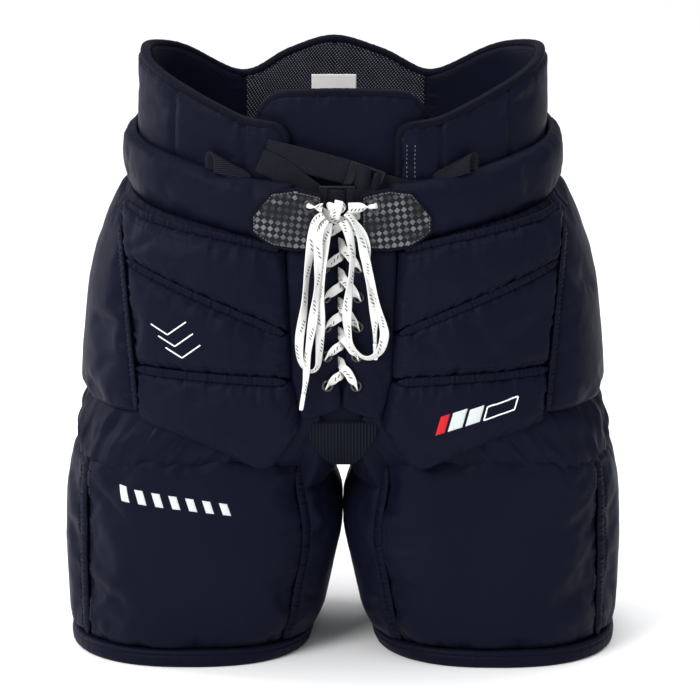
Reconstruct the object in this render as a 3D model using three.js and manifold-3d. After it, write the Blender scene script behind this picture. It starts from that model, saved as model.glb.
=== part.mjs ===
// Goalie hockey pants: padded shorts with a waist belt, an inner back-and-side wrap, a laced fly,
// two free-hanging front flaps and two padded legs.
//
// Millimetres. +Z is up, the front faces -Y and the wearer's left is +X. The origin lies on the
// floor under the middle of the pants, which stand on their two leg hems.
//
// Every padded piece follows a ring: a superellipse outline, given at each height. A place on a
// ring is an angle in degrees, 0 at the front and rising towards the left side, an offset outwards
// from the ring, and a height.
import * as THREE from "three";
import { mergeVertices } from "three/addons/utils/BufferGeometryUtils.js";
import Module from "manifold-3d";

const wasm = await Module();
wasm.setup();

// ---------------------------------------------------------------- small maths

const DEG = Math.PI / 180;
const mix = (from, to, share) => from + (to - from) * share;

// Reads [place, value] pairs with straight lines between them, held constant past both ends.
function along(pairs) {
  return (place) => {
    if (place <= pairs[0][0]) return pairs[0][1];
    for (let i = 1; i < pairs.length; i++) {
      const [p0, v0] = pairs[i - 1];
      const [p1, v1] = pairs[i];
      if (place <= p1) return mix(v0, v1, (place - p0) / (p1 - p0));
    }
    return pairs.at(-1)[1];
  };
}

// Reads [place, value] pairs along one smooth curve.
function smoothly(pairs) {
  const curve = new THREE.SplineCurve(pairs.map(([place, value]) => new THREE.Vector2(place, value)));
  const points = curve.getPoints(pairs.length * 6);
  return along(points.map((point) => [point.x, point.y]));
}

// ---------------------------------------------------------------- driving dimensions

const SEAM = 2.5; // gap between two pads that are sewn side by side
const FLAP_SEAM = 4; // gap above the hanging front flap, which swings there
const CLEARANCE = 0.3; // gap between two pieces that touch

// The padded body from the hips to the waist: its half width and half depth at each height.
const BODY_HALF_WIDTH = along([[200, 265], [300, 257], [400, 246], [430, 238], [462, 226]]);
const BODY_HALF_DEPTH = along([[300, 150], [400, 147], [430, 144], [462, 140]]);
const bodyRing = (z) => ({ x: 0, a: BODY_HALF_WIDTH(z), b: BODY_HALF_DEPTH(z), n: 3 });

const BELT = { x: 0, a: 216, b: 140, n: 2.6 };
const BELT_THICKNESS = 13;
const BELT_END_X = 50;
const BELT_BOTTOM = along([[24, 430], [82, 467], [180, 468]]);
const BELT_TOP = along([[20, 493], [34, 497], [46, 503], [63, 516], [80, 524], [100, 526]]);
const BELT_JOIN_ANGLE = 100;
const beltRing = () => BELT;

const WRAP = { x: 0, a: 200, b: 122, n: 2.6 };
const WRAP_THICKNESS = 11;
const WRAP_BOTTOM = 452;
const WRAP_FRONT_X = 57;
const WRAP_JOIN_ANGLE = 96;
const WRAP_TOP = smoothly([
  [25, 546], [31, 550], [41, 554], [52, 568], [62, 582], [74, 595], [90, 602], [117, 589], [141, 554],
  [160, 575], [180, 588], [200, 575],
]);
const wrapRing = () => WRAP;

// One leg: where its outer and inner sides stand at each height.
const LEG_OUTER_X = along([[0, 272], [110, 274], [160, 273], [200, 267]]);
const LEG_INNER_X = along([
  [0, 33], [16, 29], [40, 19], [75, 12], [118, 2.5], [145, 2], [165, 9], [180, 13], [218, 16],
]);
const LEG_HALF_DEPTH = 126;
const LEG_SQUARENESS = along([[0, 2.4], [40, 2.8], [110, 3.2]]); // the outline's power, rounder at the hem
const HEM_HEIGHT = 16;
function legRing(z) {
  const outer = LEG_OUTER_X(z);
  const inner = LEG_INNER_X(z);
  return { x: (outer + inner) / 2, a: (outer - inner) / 2, b: LEG_HALF_DEPTH, n: LEG_SQUARENESS(z) };
}

// The front pads of one side, between an inner edge beside the fly and an outer edge at the hip.
const PAD_THICKNESS = 16;
const PAD_INNER_X = along([[250, 43], [300, 54], [344, 55], [430, 61]]);
const PAD_OUTER_X = (z) => 204 + (z - 250) * 0.09;
const UPPER_SEAM_Z = along([[0, 345], [1, 409]]);
const LOWER_SEAM_Z = along([[0, 299], [1, 305]]);
const FLAP_BOTTOM_Z = along([[0, 250], [0.16, 214], [0.26, 207], [0.68, 234], [1, 250]]);

const HIP_BOTTOM_Z = 258;
const HIP_END_ANGLE = 115;
const SEAT_END_ANGLE = 168;
const SEAT_BOTTOM_Z = 238;
const TAIL_ANGLE = 170;
const TAIL_BOTTOM_Z = 250;
const SHELL_OUTSET = -20.5;
const SHELL_THICKNESS = 3;

// The laced fly.
const FLY_OUTSET = -12;
const FLY_THICKNESS = 4;
const FLY_GAP_X = 4;
const FLY_BOTTOM_Z = 258;
const FLY_TOP_Z = 456;
const EYELET_LEVELS = 6;
const EYELET_FIRST_Z = 293;
const EYELET_STEP_Z = 29.5;
const EYELET_X = (level) => 14 + 0.7 * level;
const EYELET_HOLE_RADIUS = 3.5;
const LACE_RADIUS = 1.8;

// The stiff tabs at the belt's two front ends, each with one lace eyelet.
const TAB_THICKNESS = 2.2;
const TAB_EYELET = { x: 31, z: 474, radius: 6.5 };
const TAB_TOP = along([[19, 484], [45, 490], [66, 487], [86, 462]]);
const TAB_BOTTOM = along([[19, 431], [45, 430], [66, 433], [86, 447]]);

const STRAP_WIDTH = 25;
const STRAP_THICKNESS = 1.5;
const BUCKLE = { width: 35, height: 32, thickness: 3, slotWidth: 27, slotHeight: 3.6, slotOffset: 7.5 };

// ---------------------------------------------------------------- rings and solids

function ringPoint(ring, angle, offset, z) {
  const across = Math.abs(Math.sin(angle * DEG)) / (ring.a + offset);
  const deep = Math.abs(Math.cos(angle * DEG)) / (ring.b + offset);
  const radius = (across ** ring.n + deep ** ring.n) ** (-1 / ring.n);
  return new THREE.Vector3(ring.x + radius * Math.sin(angle * DEG), -radius * Math.cos(angle * DEG), z);
}

// The front depth of a ring at a place x, as a positive distance from its middle.
function frontDepth(ring, x) {
  const share = Math.abs(x - ring.x) / ring.a;
  return ring.b * (1 - share ** ring.n) ** (1 / ring.n);
}

function frontAngle(ring, x) {
  return Math.atan2(x - ring.x, frontDepth(ring, x)) / DEG;
}

// A closed solid between two grids of points. outer and inner give a point for u and v from 0 to 1.
// A closed sheet joins its last column to its first.
function sheet(across, up, outer, inner, closed = false) {
  const columns = closed ? across : across + 1;
  const positions = [];
  for (const skin of [outer, inner]) {
    for (let i = 0; i < columns; i++) {
      for (let j = 0; j <= up; j++) positions.push(...skin(i / across, j / up).toArray());
    }
  }
  const index = [];
  const innerStart = columns * (up + 1);
  const at = (i, j) => (i % columns) * (up + 1) + j;
  const quad = (a, b, c, d) => index.push(a, b, c, a, c, d);
  for (let i = 0; i < across; i++) {
    for (let j = 0; j < up; j++) {
      quad(at(i, j), at(i + 1, j), at(i + 1, j + 1), at(i, j + 1));
      quad(
        innerStart + at(i, j),
        innerStart + at(i, j + 1),
        innerStart + at(i + 1, j + 1),
        innerStart + at(i + 1, j),
      );
    }
    quad(at(i, 0), innerStart + at(i, 0), innerStart + at(i + 1, 0), at(i + 1, 0));
    quad(at(i, up), at(i + 1, up), innerStart + at(i + 1, up), innerStart + at(i, up));
  }
  for (let j = 0; j < up && !closed; j++) {
    quad(at(0, j), at(0, j + 1), innerStart + at(0, j + 1), innerStart + at(0, j));
    quad(at(across, j), innerStart + at(across, j), innerStart + at(across, j + 1), at(across, j + 1));
  }
  const geometry = new THREE.BufferGeometry();
  geometry.setAttribute("position", new THREE.Float32BufferAttribute(positions, 3));
  geometry.setIndex(index);
  return geometry;
}

// A padded panel that follows a ring. place(u, v) gives its angle and height.
function panel({ ring, across, up, place, outset = 0, thickness, closed = false }) {
  const skin = (offset) => (u, v) => {
    const [angle, z] = place(u, v);
    return ringPoint(ring(z), angle, offset, z);
  };
  return sheet(across, up, skin(outset), skin(outset - thickness), closed);
}

// A place function for a panel that is laid out by x and z across the front of a ring.
const byFrontX = (ring, x, z) => [frontAngle(ring(z), x), z];

function toSolid(geometry) {
  const bare = geometry.clone();
  bare.deleteAttribute("normal");
  bare.deleteAttribute("uv");
  const merged = mergeVertices(bare, 1e-3);
  const vertProperties = merged.attributes.position.array;
  const triVerts = new Uint32Array(merged.index.array);
  return new wasm.Manifold(new wasm.Mesh({ numProp: 3, vertProperties, triVerts }));
}

function toGeometry(solid) {
  const mesh = solid.getMesh();
  const geometry = new THREE.BufferGeometry();
  geometry.setAttribute("position", new THREE.BufferAttribute(mesh.vertProperties, 3));
  geometry.setIndex(new THREE.BufferAttribute(mesh.triVerts, 1));
  return geometry;
}

function polygon(radius, sides) {
  const corners = [];
  for (let i = 0; i < sides; i++) {
    const turn = ((i + 0.5) / sides) * 2 * Math.PI;
    corners.push(new THREE.Vector2(radius * Math.cos(turn), radius * Math.sin(turn)));
  }
  return new THREE.Shape(corners);
}

// A round cord along a smooth curve through its points.
function tube(points, radius, sides, steps) {
  const extrudePath = new THREE.CatmullRomCurve3(points.map((point) => new THREE.Vector3(...point)));
  return new THREE.ExtrudeGeometry(polygon(radius, sides), { steps, extrudePath });
}

// A cylinder whose axis runs along Y, centred at a place.
function yCylinder(radius, length, sides, x, y, z) {
  return new THREE.CylinderGeometry(radius, radius, length, sides).translate(x, y, z);
}

// Flat webbing along a path of points, with its width held in a near-vertical direction.
function webbing(points, width, thickness, steps, widthDirection = new THREE.Vector3(0, 0, 1)) {
  const path = new THREE.CatmullRomCurve3(points.map((point) => new THREE.Vector3(...point)));
  const skin = (side) => (u, v) => {
    const tangent = path.getTangent(u);
    const normal = tangent.clone().cross(widthDirection).normalize();
    const wide = normal.clone().cross(tangent).normalize();
    const point = path.getPoint(u);
    point.addScaledVector(wide, (v - 0.5) * width);
    return point.addScaledVector(normal, (side * thickness) / 2);
  };
  return sheet(steps, 1, skin(1), skin(-1));
}

// ---------------------------------------------------------------- materials

const finish = (color, roughness, metalness = 0) =>
  new THREE.MeshStandardMaterial({ color, roughness, metalness });
const nylon = finish(0x20222f, 0.55);
const lining = finish(0x1b1c22, 0.9);
const innerBoard = finish(0x2c2d30, 0.6);
const ribbedWebbing = finish(0x16171c, 0.75);
const blackPlastic = finish(0x0e0f12, 0.35);
const checkedTab = finish(0x4a4c50, 0.35);
const eyeletMetal = finish(0x101114, 0.3, 0.6);
const whiteLace = finish(0xe9e9e6, 0.8);
const whiteTip = finish(0xf2f2f0, 0.3);
const whiteLabel = finish(0xdedddb, 0.7);

// ---------------------------------------------------------------- the pieces

const pants = new THREE.Group();

function part(name, geometry, material) {
  const mesh = new THREE.Mesh(geometry, material);
  mesh.name = name;
  pants.add(mesh);
  return mesh;
}

// A piece of the left side, at +X, and its mirror image on the right.
function pair(name, geometry, material) {
  part(name + "_left", geometry, material);
  part(name + "_right", geometry, material).scale.x = -1;
}

// A front pad between two edges given by the share of the way across.
function frontPad(bottom, top, across, up) {
  const place = (u, v) => {
    const z = mix(bottom(u), top(u), v);
    return byFrontX(bodyRing, mix(PAD_INNER_X(z), PAD_OUTER_X(z), u), z);
  };
  return panel({ ring: bodyRing, across, up, place, thickness: PAD_THICKNESS });
}

function addFrontPads() {
  const half = SEAM / 2;
  const beltEdge = (u) => {
    const x = mix(PAD_INNER_X(430), PAD_OUTER_X(450), u);
    return BELT_BOTTOM(frontAngle(bodyRing(450), x)) - SEAM;
  };
  const above = (edge) => (u) => edge(u) + half;
  const below = (edge) => (u) => edge(u) - half;
  pair("front_pad_upper", frontPad(above(UPPER_SEAM_Z), beltEdge, 8, 3), nylon);
  pair("front_pad_middle", frontPad(above(LOWER_SEAM_Z), below(UPPER_SEAM_Z), 8, 3), nylon);
  const flapTop = (u) => LOWER_SEAM_Z(u) + half - FLAP_SEAM;
  pair("front_pad_lower", frontPad(FLAP_BOTTOM_Z, flapTop, 12, 3), nylon);
}

function addHipAndSeatPads() {
  const belowBelt = (angle) => BELT_BOTTOM(angle) - SEAM;
  const hip = (u, v) => {
    const z = mix(HIP_BOTTOM_Z, belowBelt(mix(68, HIP_END_ANGLE, u)), v);
    const front = frontAngle(bodyRing(z), PAD_OUTER_X(z) + SEAM);
    return [mix(front, HIP_END_ANGLE, u), z];
  };
  pair("hip_pad", panel({ ring: bodyRing, across: 8, up: 4, place: hip, thickness: 14 }), nylon);
  const seat = (u, v) => {
    const angle = mix(HIP_END_ANGLE + 1.5, SEAT_END_ANGLE, u);
    return [angle, mix(SEAT_BOTTOM_Z, belowBelt(angle), v)];
  };
  pair("seat_pad", panel({ ring: bodyRing, across: 8, up: 4, place: seat, thickness: 14 }), nylon);
  const tail = (margin) => (u, v) => {
    const angle = mix(TAIL_ANGLE + margin / 5, 360 - TAIL_ANGLE - margin / 5, u);
    return [angle, mix(TAIL_BOTTOM_Z + margin, belowBelt(180) - margin, v)];
  };
  part("tailbone_pad", panel({ ring: bodyRing, across: 6, up: 4, place: tail(0), thickness: 12 }), nylon);
  const plate = { ring: bodyRing, across: 6, up: 3, place: tail(12), outset: -14, thickness: 3 };
  part("tailbone_plate", panel(plate), innerBoard);
}

// The nylon skin that all the body's pads are sewn on, one half each side.
function addShell() {
  const bottom = along([[20, 305], [50, 300], [75, 262], [110, 262], [135, 240]]);
  const place = (u, v) => {
    const angle = mix(20, 179.5, u);
    const top = Math.min(BELT_BOTTOM(angle) - SEAM, WRAP_BOTTOM - SEAM);
    return [angle, mix(bottom(angle), top, v)];
  };
  const skin = { ring: bodyRing, across: 22, up: 3, place, outset: SHELL_OUTSET, thickness: SHELL_THICKNESS };
  pair("shell", panel(skin), lining);
}

function addBelt() {
  const front = frontAngle(BELT, BELT_END_X);
  const side = (u, v) => {
    const angle = mix(front, BELT_JOIN_ANGLE - 0.3, u);
    return [angle, mix(BELT_BOTTOM(angle), BELT_TOP(angle), v)];
  };
  const wing = { ring: beltRing, across: 12, up: 2, place: side, thickness: BELT_THICKNESS };
  pair("belt", panel(wing), nylon);
  const back = (u, v) => {
    const angle = mix(BELT_JOIN_ANGLE + 0.3, 180, u);
    return [angle, mix(BELT_BOTTOM(angle), BELT_TOP(angle), v)];
  };
  const mirroredBack = (u, v) => {
    const [angle, z] = back(u < 0.5 ? 2 * u : 2 - 2 * u, v);
    return [u < 0.5 ? angle : 360 - angle, z];
  };
  const rear = { ring: beltRing, across: 20, up: 2, place: mirroredBack, thickness: BELT_THICKNESS };
  part("belt_back", panel(rear), nylon);
}

function addWrap() {
  const front = frontAngle(WRAP, WRAP_FRONT_X);
  const wing = (u, v) => {
    const angle = mix(front, WRAP_JOIN_ANGLE - 0.4, u);
    return [angle, mix(WRAP_BOTTOM, WRAP_TOP(angle), v)];
  };
  const side = { ring: wrapRing, across: 12, up: 3, place: wing, thickness: WRAP_THICKNESS };
  pair("wrap_wing", panel(side), nylon);
  const back = (u, v) => {
    const angle = mix(WRAP_JOIN_ANGLE + 0.4, 360 - WRAP_JOIN_ANGLE - 0.4, u);
    return [angle, mix(WRAP_BOTTOM, WRAP_TOP(Math.min(angle, 360 - angle)), v)];
  };
  const rear = { ring: wrapRing, across: 24, up: 3, place: back, thickness: WRAP_THICKNESS };
  part("wrap_back", panel(rear), nylon);
}

// The soft pad that closes the front of the waist, behind the wings and the straps.
const BELLY = { halfWidth: 97, bottom: 437, top: 580, cornerRadius: 22, outset: -13.5, thickness: 14 };
function addBellyPad() {
  const place = (u, v) => {
    const x = mix(-BELLY.halfWidth, BELLY.halfWidth, u);
    const intoCorner = Math.max(0, Math.abs(x) - (BELLY.halfWidth - BELLY.cornerRadius));
    const drop = BELLY.cornerRadius - Math.sqrt(BELLY.cornerRadius ** 2 - intoCorner ** 2);
    return byFrontX(wrapRing, x, mix(BELLY.bottom, BELLY.top - drop, v));
  };
  const { outset, thickness } = BELLY;
  part("belly_pad", panel({ ring: wrapRing, across: 16, up: 3, place, outset, thickness }), nylon);
}

// Fly panel and eyelet strip share the same six lace holes.
function flyHoles() {
  const holes = [];
  for (let level = 0; level < EYELET_LEVELS; level++) {
    const z = EYELET_FIRST_Z + EYELET_STEP_Z * level;
    const y = -(BODY_HALF_DEPTH(z) + FLY_OUTSET);
    holes.push(toSolid(yCylinder(EYELET_HOLE_RADIUS, 14, 10, EYELET_X(level), y, z)));
  }
  return holes;
}

function addFly() {
  const outerX = along([[258, 40], [300, 50.5], [344, 52], [427, 56], [432, 44], [FLY_TOP_Z, 40]]);
  const flyFace = (u, v) => {
    const z = mix(FLY_BOTTOM_Z, FLY_TOP_Z, v);
    return byFrontX(bodyRing, mix(FLY_GAP_X, outerX(z), u), z);
  };
  const front = {
    ring: bodyRing, across: 3, up: 8, place: flyFace, outset: FLY_OUTSET, thickness: FLY_THICKNESS,
  };
  const strip = (u, v) => byFrontX(bodyRing, mix(7.5, 26.5, u), mix(EYELET_FIRST_Z - 12, FLY_TOP_Z - 2, v));
  const stripFace = {
    ring: bodyRing, across: 1, up: 8, place: strip, outset: FLY_OUTSET + 1.4, thickness: 0.8,
  };
  let fly = toSolid(panel(front));
  let eyelets = toSolid(panel(stripFace));
  for (let level = 0; level < EYELET_LEVELS; level++) {
    const z = EYELET_FIRST_Z + EYELET_STEP_Z * level;
    const y = -(BODY_HALF_DEPTH(z) + FLY_OUTSET + 1.6);
    eyelets = eyelets.add(toSolid(yCylinder(6, 1.2, 10, EYELET_X(level), y, z)));
  }
  for (const hole of flyHoles()) {
    fly = fly.subtract(hole);
    eyelets = eyelets.subtract(hole);
  }
  pair("fly_panel", toGeometry(fly), nylon);
  pair("fly_eyelets", toGeometry(eyelets), eyeletMetal);
  const behind = (u, v) => byFrontX(bodyRing, mix(-40, 40, u), mix(265, 450, v));
  const gusset = { ring: bodyRing, across: 4, up: 6, place: behind, outset: -23, thickness: 3 };
  part("fly_gusset", panel(gusset), nylon);
}

// A ribbed band under the crotch, from the fly to the tailbone pad, between the two legs.
function addCrotchGusset() {
  const side = [
    [-133, 254], [-124, 222], [-95, 198], [-50, 187], [0, 183], [50, 187], [95, 200], [115, 218], [125, 236],
  ];
  const path = side.map(([y, z]) => [0, y, z]);
  part("crotch_gusset", webbing(path, 24, 3, 16, new THREE.Vector3(1, 0, 0)), nylon);
}

function addTabs() {
  const place = (u, v) => {
    const x = mix(19, 86, u);
    return byFrontX(beltRing, x, mix(TAB_BOTTOM(x), TAB_TOP(x), v));
  };
  const outset = CLEARANCE + TAB_THICKNESS;
  const tab = panel({ ring: beltRing, across: 8, up: 3, place, outset, thickness: TAB_THICKNESS });
  const hole = toSolid(yCylinder(EYELET_HOLE_RADIUS, 20, 12, TAB_EYELET.x, -BELT.b, TAB_EYELET.z));
  pair("belt_tab", toGeometry(toSolid(tab).subtract(hole)), checkedTab);
  const y = -(BELT.b + outset + CLEARANCE + 0.5);
  const ring = toSolid(yCylinder(TAB_EYELET.radius, 1, 16, TAB_EYELET.x, y, TAB_EYELET.z)).subtract(hole);
  pair("tab_eyelet", toGeometry(ring), eyeletMetal);
}

// ---------------------------------------------------------------- lace

const LACE_FRONT = FLY_OUTSET + 2.2 + CLEARANCE + LACE_RADIUS;
const LACE_BEHIND = FLY_OUTSET - FLY_THICKNESS - CLEARANCE - LACE_RADIUS - 0.8;
const LACE_MIDWAY = FLY_OUTSET - FLY_THICKNESS / 2;
const TAB_FRONT_Y = -(BELT.b + 3.8 + CLEARANCE + LACE_RADIUS);

// One end of the lace, from the lowest eyelet up to the knot. It comes out of each eyelet, runs up
// to the gap in the middle, goes in, and passes behind the other panel to that side's next eyelet.
function laceStrand(side) {
  const at = (x, layer, z) => [x, -(BODY_HALF_DEPTH(z) + layer), z];
  const points = [at(-2 * side, LACE_BEHIND, EYELET_FIRST_Z - 4)];
  let sign = side;
  for (let level = 0; level < EYELET_LEVELS; level++) {
    const z = EYELET_FIRST_Z + EYELET_STEP_Z * level;
    const x = EYELET_X(level);
    points.push(at(sign * (x - 1), LACE_BEHIND, z - 0.5));
    points.push(at(sign * x, LACE_MIDWAY, z));
    points.push(at(sign * (x - 1), LACE_FRONT, z + 1));
    const rise = sign > 0 ? 1 : 0.6; // the right side's pieces lie flatter
    points.push(at(sign * 6, LACE_FRONT, z + 14 * rise));
    if (level === EYELET_LEVELS - 1) break;
    points.push(at(sign * 1.7, LACE_FRONT - 1, z + 18 * rise));
    points.push(at(0, LACE_MIDWAY, z + 20 * rise));
    points.push(at(-sign * 1.7, LACE_BEHIND + 0.5, z + 22 * rise));
    points.push(at(-sign * 8, LACE_BEHIND, z + 25 * rise));
    sign = -sign;
  }
  const tabX = -sign * TAB_EYELET.x;
  points.push([-sign * 10, -(BELT.b - 3), 461]);
  points.push([tabX, -(BELT.b - 2.4), TAB_EYELET.z]);
  points.push([tabX, TAB_FRONT_Y, TAB_EYELET.z + 0.5]);
  points.push([tabX > 0 ? 6.5 : -18.5, TAB_FRONT_Y, 473]);
  return toSolid(tube(points, LACE_RADIUS, 6, 80));
}

// The bow. Each route starts at the knot. Left and right are the wearer's.
const KNOT = { x: -6, y: -145.6, z: 471, halfWidth: 10, halfDepth: 4.2, halfHeight: 9 };
const LOOP_LEFT = [
  [4, -147.5, 468.3], [10, -149, 463], [15, -149.4, 454.1], [19, -149.4, 442.5],
  [21.5, -149.4, 429.2], [25, -149.4, 414.9], [29, -149.4, 400.7], [32.5, -149.4, 386.4],
  [35.5, -149.4, 374], [40, -149.4, 357.1], [41.5, -149.4, 347.3], [39, -149.4, 334.8],
  [35, -149.4, 328.6], [28, -149.4, 324.1], [20, -149.4, 325], [13, -149.4, 331.3],
  [8.5, -149.4, 338.4], [6, -149.4, 350.9], [5, -149.4, 365.1], [6, -149.4, 381.1],
  [8, -149.4, 397.1], [9.5, -149.4, 411.4], [10.5, -149.4, 425.6], [9, -149.4, 438.1],
  [6, -149.4, 450.5], [1, -149, 460.3],
];
const LOOP_RIGHT = [
  [-17.5, -148, 466.3], [-22.4, -149.4, 463.5], [-26.2, -149.4, 457], [-28.9, -149.4, 443.9],
  [-31, -149.4, 427], [-33.5, -149.4, 408.3], [-35, -149.4, 391.4], [-36.5, -149.4, 374.6],
  [-39, -149.4, 357.7], [-41, -149.4, 342.8], [-41, -149.4, 327.8], [-38.5, -149.4, 317.5],
  [-33, -149.4, 311.4], [-27.2, -149.4, 310.9], [-23.1, -149.4, 316.6], [-21.9, -149.4, 327.8],
  [-21.2, -149.4, 342.8], [-20.3, -149.4, 363.4], [-20, -149.4, 385.8], [-18.5, -149.4, 408.3],
  [-17, -149.4, 428.9], [-15, -149.4, 445.7], [-12.5, -149, 458.8],
];
const TAIL_RIGHT = [
  [-15, -150.5, 462.5], [-21, -153, 450], [-22.5, -153.5, 436], [-22.5, -153.5, 420], [-23, -153.5, 402],
  [-25, -153.5, 384], [-27.5, -153.5, 366], [-30, -153.5, 349], [-32.5, -153.5, 332], [-34, -153.5, 316],
  [-35, -153.5, 302], [-37, -153, 289],
];
const TAIL_LEFT = [
  [6.5, -145.4, 461.5], [13, -144.9, 458], [20, -144.9, 448], [23.5, -144.9, 434], [23.5, -144.9, 418],
  [26, -144.9, 402], [29, -144.9, 385], [31.5, -144.9, 368], [32, -144.9, 352], [32.5, -144.9, 338],
];
const AGLET = { radius: 2.2, length: 17 };

// The stiff tip carries on from a tail's last point, in the direction that the tail ends in.
function agletAfter(tail) {
  const end = new THREE.Vector3(...tail.at(-1));
  const heading = end.clone().sub(new THREE.Vector3(...tail.at(-2))).normalize();
  const shape = new THREE.CylinderGeometry(AGLET.radius, AGLET.radius, AGLET.length, 8);
  shape.applyQuaternion(new THREE.Quaternion().setFromUnitVectors(new THREE.Vector3(0, 1, 0), heading));
  const middle = end.addScaledVector(heading, AGLET.length / 2 + CLEARANCE);
  return shape.translate(middle.x, middle.y, middle.z);
}

function addLace() {
  part("fly_lace", toGeometry(laceStrand(1).add(laceStrand(-1))), whiteLace);
  const knot = new THREE.SphereGeometry(1, 12, 8).scale(KNOT.halfWidth, KNOT.halfDepth, KNOT.halfHeight);
  part("lace_knot", knot.translate(KNOT.x, KNOT.y, KNOT.z), whiteLace);
  part("lace_loop_left", tube(LOOP_LEFT, LACE_RADIUS, 8, 40), whiteLace);
  part("lace_loop_right", tube(LOOP_RIGHT, LACE_RADIUS, 8, 40), whiteLace);
  part("lace_tail_left", tube(TAIL_LEFT, LACE_RADIUS, 8, 15), whiteLace);
  part("lace_tail_right", tube(TAIL_RIGHT, LACE_RADIUS, 8, 20), whiteLace);
  part("aglet_left", agletAfter(TAIL_LEFT), whiteTip);
  part("aglet_right", agletAfter(TAIL_RIGHT), whiteTip);
}

// ---------------------------------------------------------------- straps and buckles

// A plate with two webbing slots, lying in the XZ plane around its own middle.
function ladderLock() {
  const { width, height, thickness, slotWidth, slotHeight, slotOffset } = BUCKLE;
  let plate = toSolid(new THREE.BoxGeometry(width, thickness, height));
  for (const side of [-1, 1]) {
    const slot = new THREE.BoxGeometry(slotHeight, thickness * 2, slotWidth);
    plate = plate.subtract(toSolid(slot.translate(side * slotOffset, 0, 0)));
  }
  return toGeometry(plate);
}

function addStraps() {
  const onWrap = (x, lift) => -(frontDepth(WRAP, x) + lift);
  const route = (lift, places) => places.map(([x, z]) => [x, onWrap(x, lift), z]);
  const strap = (name, path, steps) =>
    part(name, webbing(path, STRAP_WIDTH, STRAP_THICKNESS, steps), ribbedWebbing);
  strap("wrap_strap", route(1.15, [[-74, 523], [-54, 518.5], [-26, 511.5], [2, 504], [12, 500.5]]), 8);
  strap("wrap_strap_anchor", route(1.15, [[30, 491], [56, 484], [76, 481]]), 4);
  const waist = route(3.1, [[-80, 514], [-62, 506], [-42, 491]]);
  waist.push([-26, -125.6, 479], [-12, -126, 475]);
  strap("waist_strap", waist, 10);
  const anchor = [[14.5, -129.4, 475], [25, -129, 474], [36.5, -128.6, 473], [45, -124.8, 474]];
  anchor.push(...route(3.3, [[60, 476], [74, 477]]));
  strap("waist_strap_anchor", anchor, 8);
  const wrapBuckle = part("wrap_buckle", ladderLock(), blackPlastic);
  wrapBuckle.position.set(20.8, -125.9, 494.3);
  wrapBuckle.rotation.y = 19 * DEG;
  const waistBuckle = part("waist_buckle", ladderLock(), blackPlastic);
  waistBuckle.position.set(-4.5, -129.8, 475);
}

// ---------------------------------------------------------------- suspender loops and care label

// An arch of webbing that stands on the belt's top edge, open along X, and slopes with that edge.
const BRACE_LOOP = { x: 110, width: 36, depth: 10, height: 17, thickness: 1.6, slope: 0.22 };
function addBraceLoops() {
  const { x, width, depth, height, thickness, slope } = BRACE_LOOP;
  const baseZ = BELT_TOP(frontAngle(BELT, x)) + 2.5;
  const middleY = -(frontDepth(BELT, x) - BELT_THICKNESS / 2);
  const arch = [
    [0, -depth / 2, 0], [0, -depth / 2, height * 0.6], [0, -depth / 4, height * 0.93],
    [0, 0, height], [0, depth / 4, height * 0.93], [0, depth / 2, height * 0.6], [0, depth / 2, 0],
  ];
  const band = webbing(arch, width, thickness, 12, new THREE.Vector3(1, 0, 0));
  band.applyMatrix4(new THREE.Matrix4().makeShear(0, slope, 0, 0, 0, 0));
  pair("suspender_loop", band.translate(x, middleY, baseZ), ribbedWebbing);
}

function addCareLabel() {
  const place = (u, v) => [180 - frontAngle(WRAP, mix(15, -40, u)), mix(525, 550, v)];
  const outset = -WRAP_THICKNESS - CLEARANCE;
  part("care_label", panel({ ring: wrapRing, across: 4, up: 1, place, outset, thickness: 0.6 }), whiteLabel);
}

// ---------------------------------------------------------------- legs

function legPanel({ from, to, bottom = HEM_HEIGHT + 1, top, thickness, outset = 0, across, up }) {
  const topAt = typeof top === "function" ? top : () => top;
  const place = (u, v) => {
    const angle = mix(from, to, u);
    return [angle, mix(bottom, topAt(angle), v)];
  };
  return panel({ ring: legRing, across, up, place, outset, thickness });
}

function addLegs() {
  const thighTop = along([[-45, 206], [-20, 218], [15, 218], [35, 208], [54, 205]]);
  const thigh = { from: -45, to: 54, top: thighTop, thickness: 20, across: 10, up: 4 };
  pair("thigh_pad", legPanel(thigh), nylon);
  const plate = {
    from: -36, to: 46, bottom: 30, top: 196, outset: -22, thickness: 2.5, across: 8, up: 3,
  };
  pair("thigh_plate", legPanel(plate), innerBoard);
  const side = { from: 55.5, to: 130, top: 205, thickness: 12, across: 8, up: 4 };
  pair("thigh_side_pad", legPanel(side), nylon);
  const back = { from: 131.5, to: 225, top: 212, thickness: 6, across: 9, up: 3 };
  pair("back_thigh_panel", legPanel(back), nylon);
  const inner = { from: -133, to: -46.5, top: 178, thickness: 4, across: 8, up: 6 };
  pair("inner_thigh_panel", legPanel(inner), nylon);
  const hemPlace = (u, v) => [360 * u, HEM_HEIGHT * v];
  const hem = {
    ring: legRing, across: 36, up: 1, place: hemPlace, outset: 1.5, thickness: 10.5, closed: true,
  };
  pair("leg_hem", panel(hem), nylon);
}

addFrontPads();
addHipAndSeatPads();
addShell();
addBelt();
addWrap();
addBellyPad();
addFly();
addCrotchGusset();
addTabs();
addLace();
addStraps();
addBraceLoops();
addCareLabel();
addLegs();

export default pants;
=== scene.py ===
"""Goalie hockey pants: the fabric, foam, lace, webbing and hardware, built around the CAD frame.

Sizes are in millimetres in the frame's own axes (+Z up, the front faces -Y, the wearer's left is
+X) and become metres in make_piece. Every padded piece follows a ring, a superellipse outline
that is given at each height. A place on a ring is an angle in degrees, 0 at the front and rising
towards the left side, an offset outwards from the ring, and a height.
"""
import math

import bpy
import numpy as np
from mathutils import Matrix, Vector
from mathutils.bvhtree import BVHTree
from mathutils.kdtree import KDTree


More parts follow.
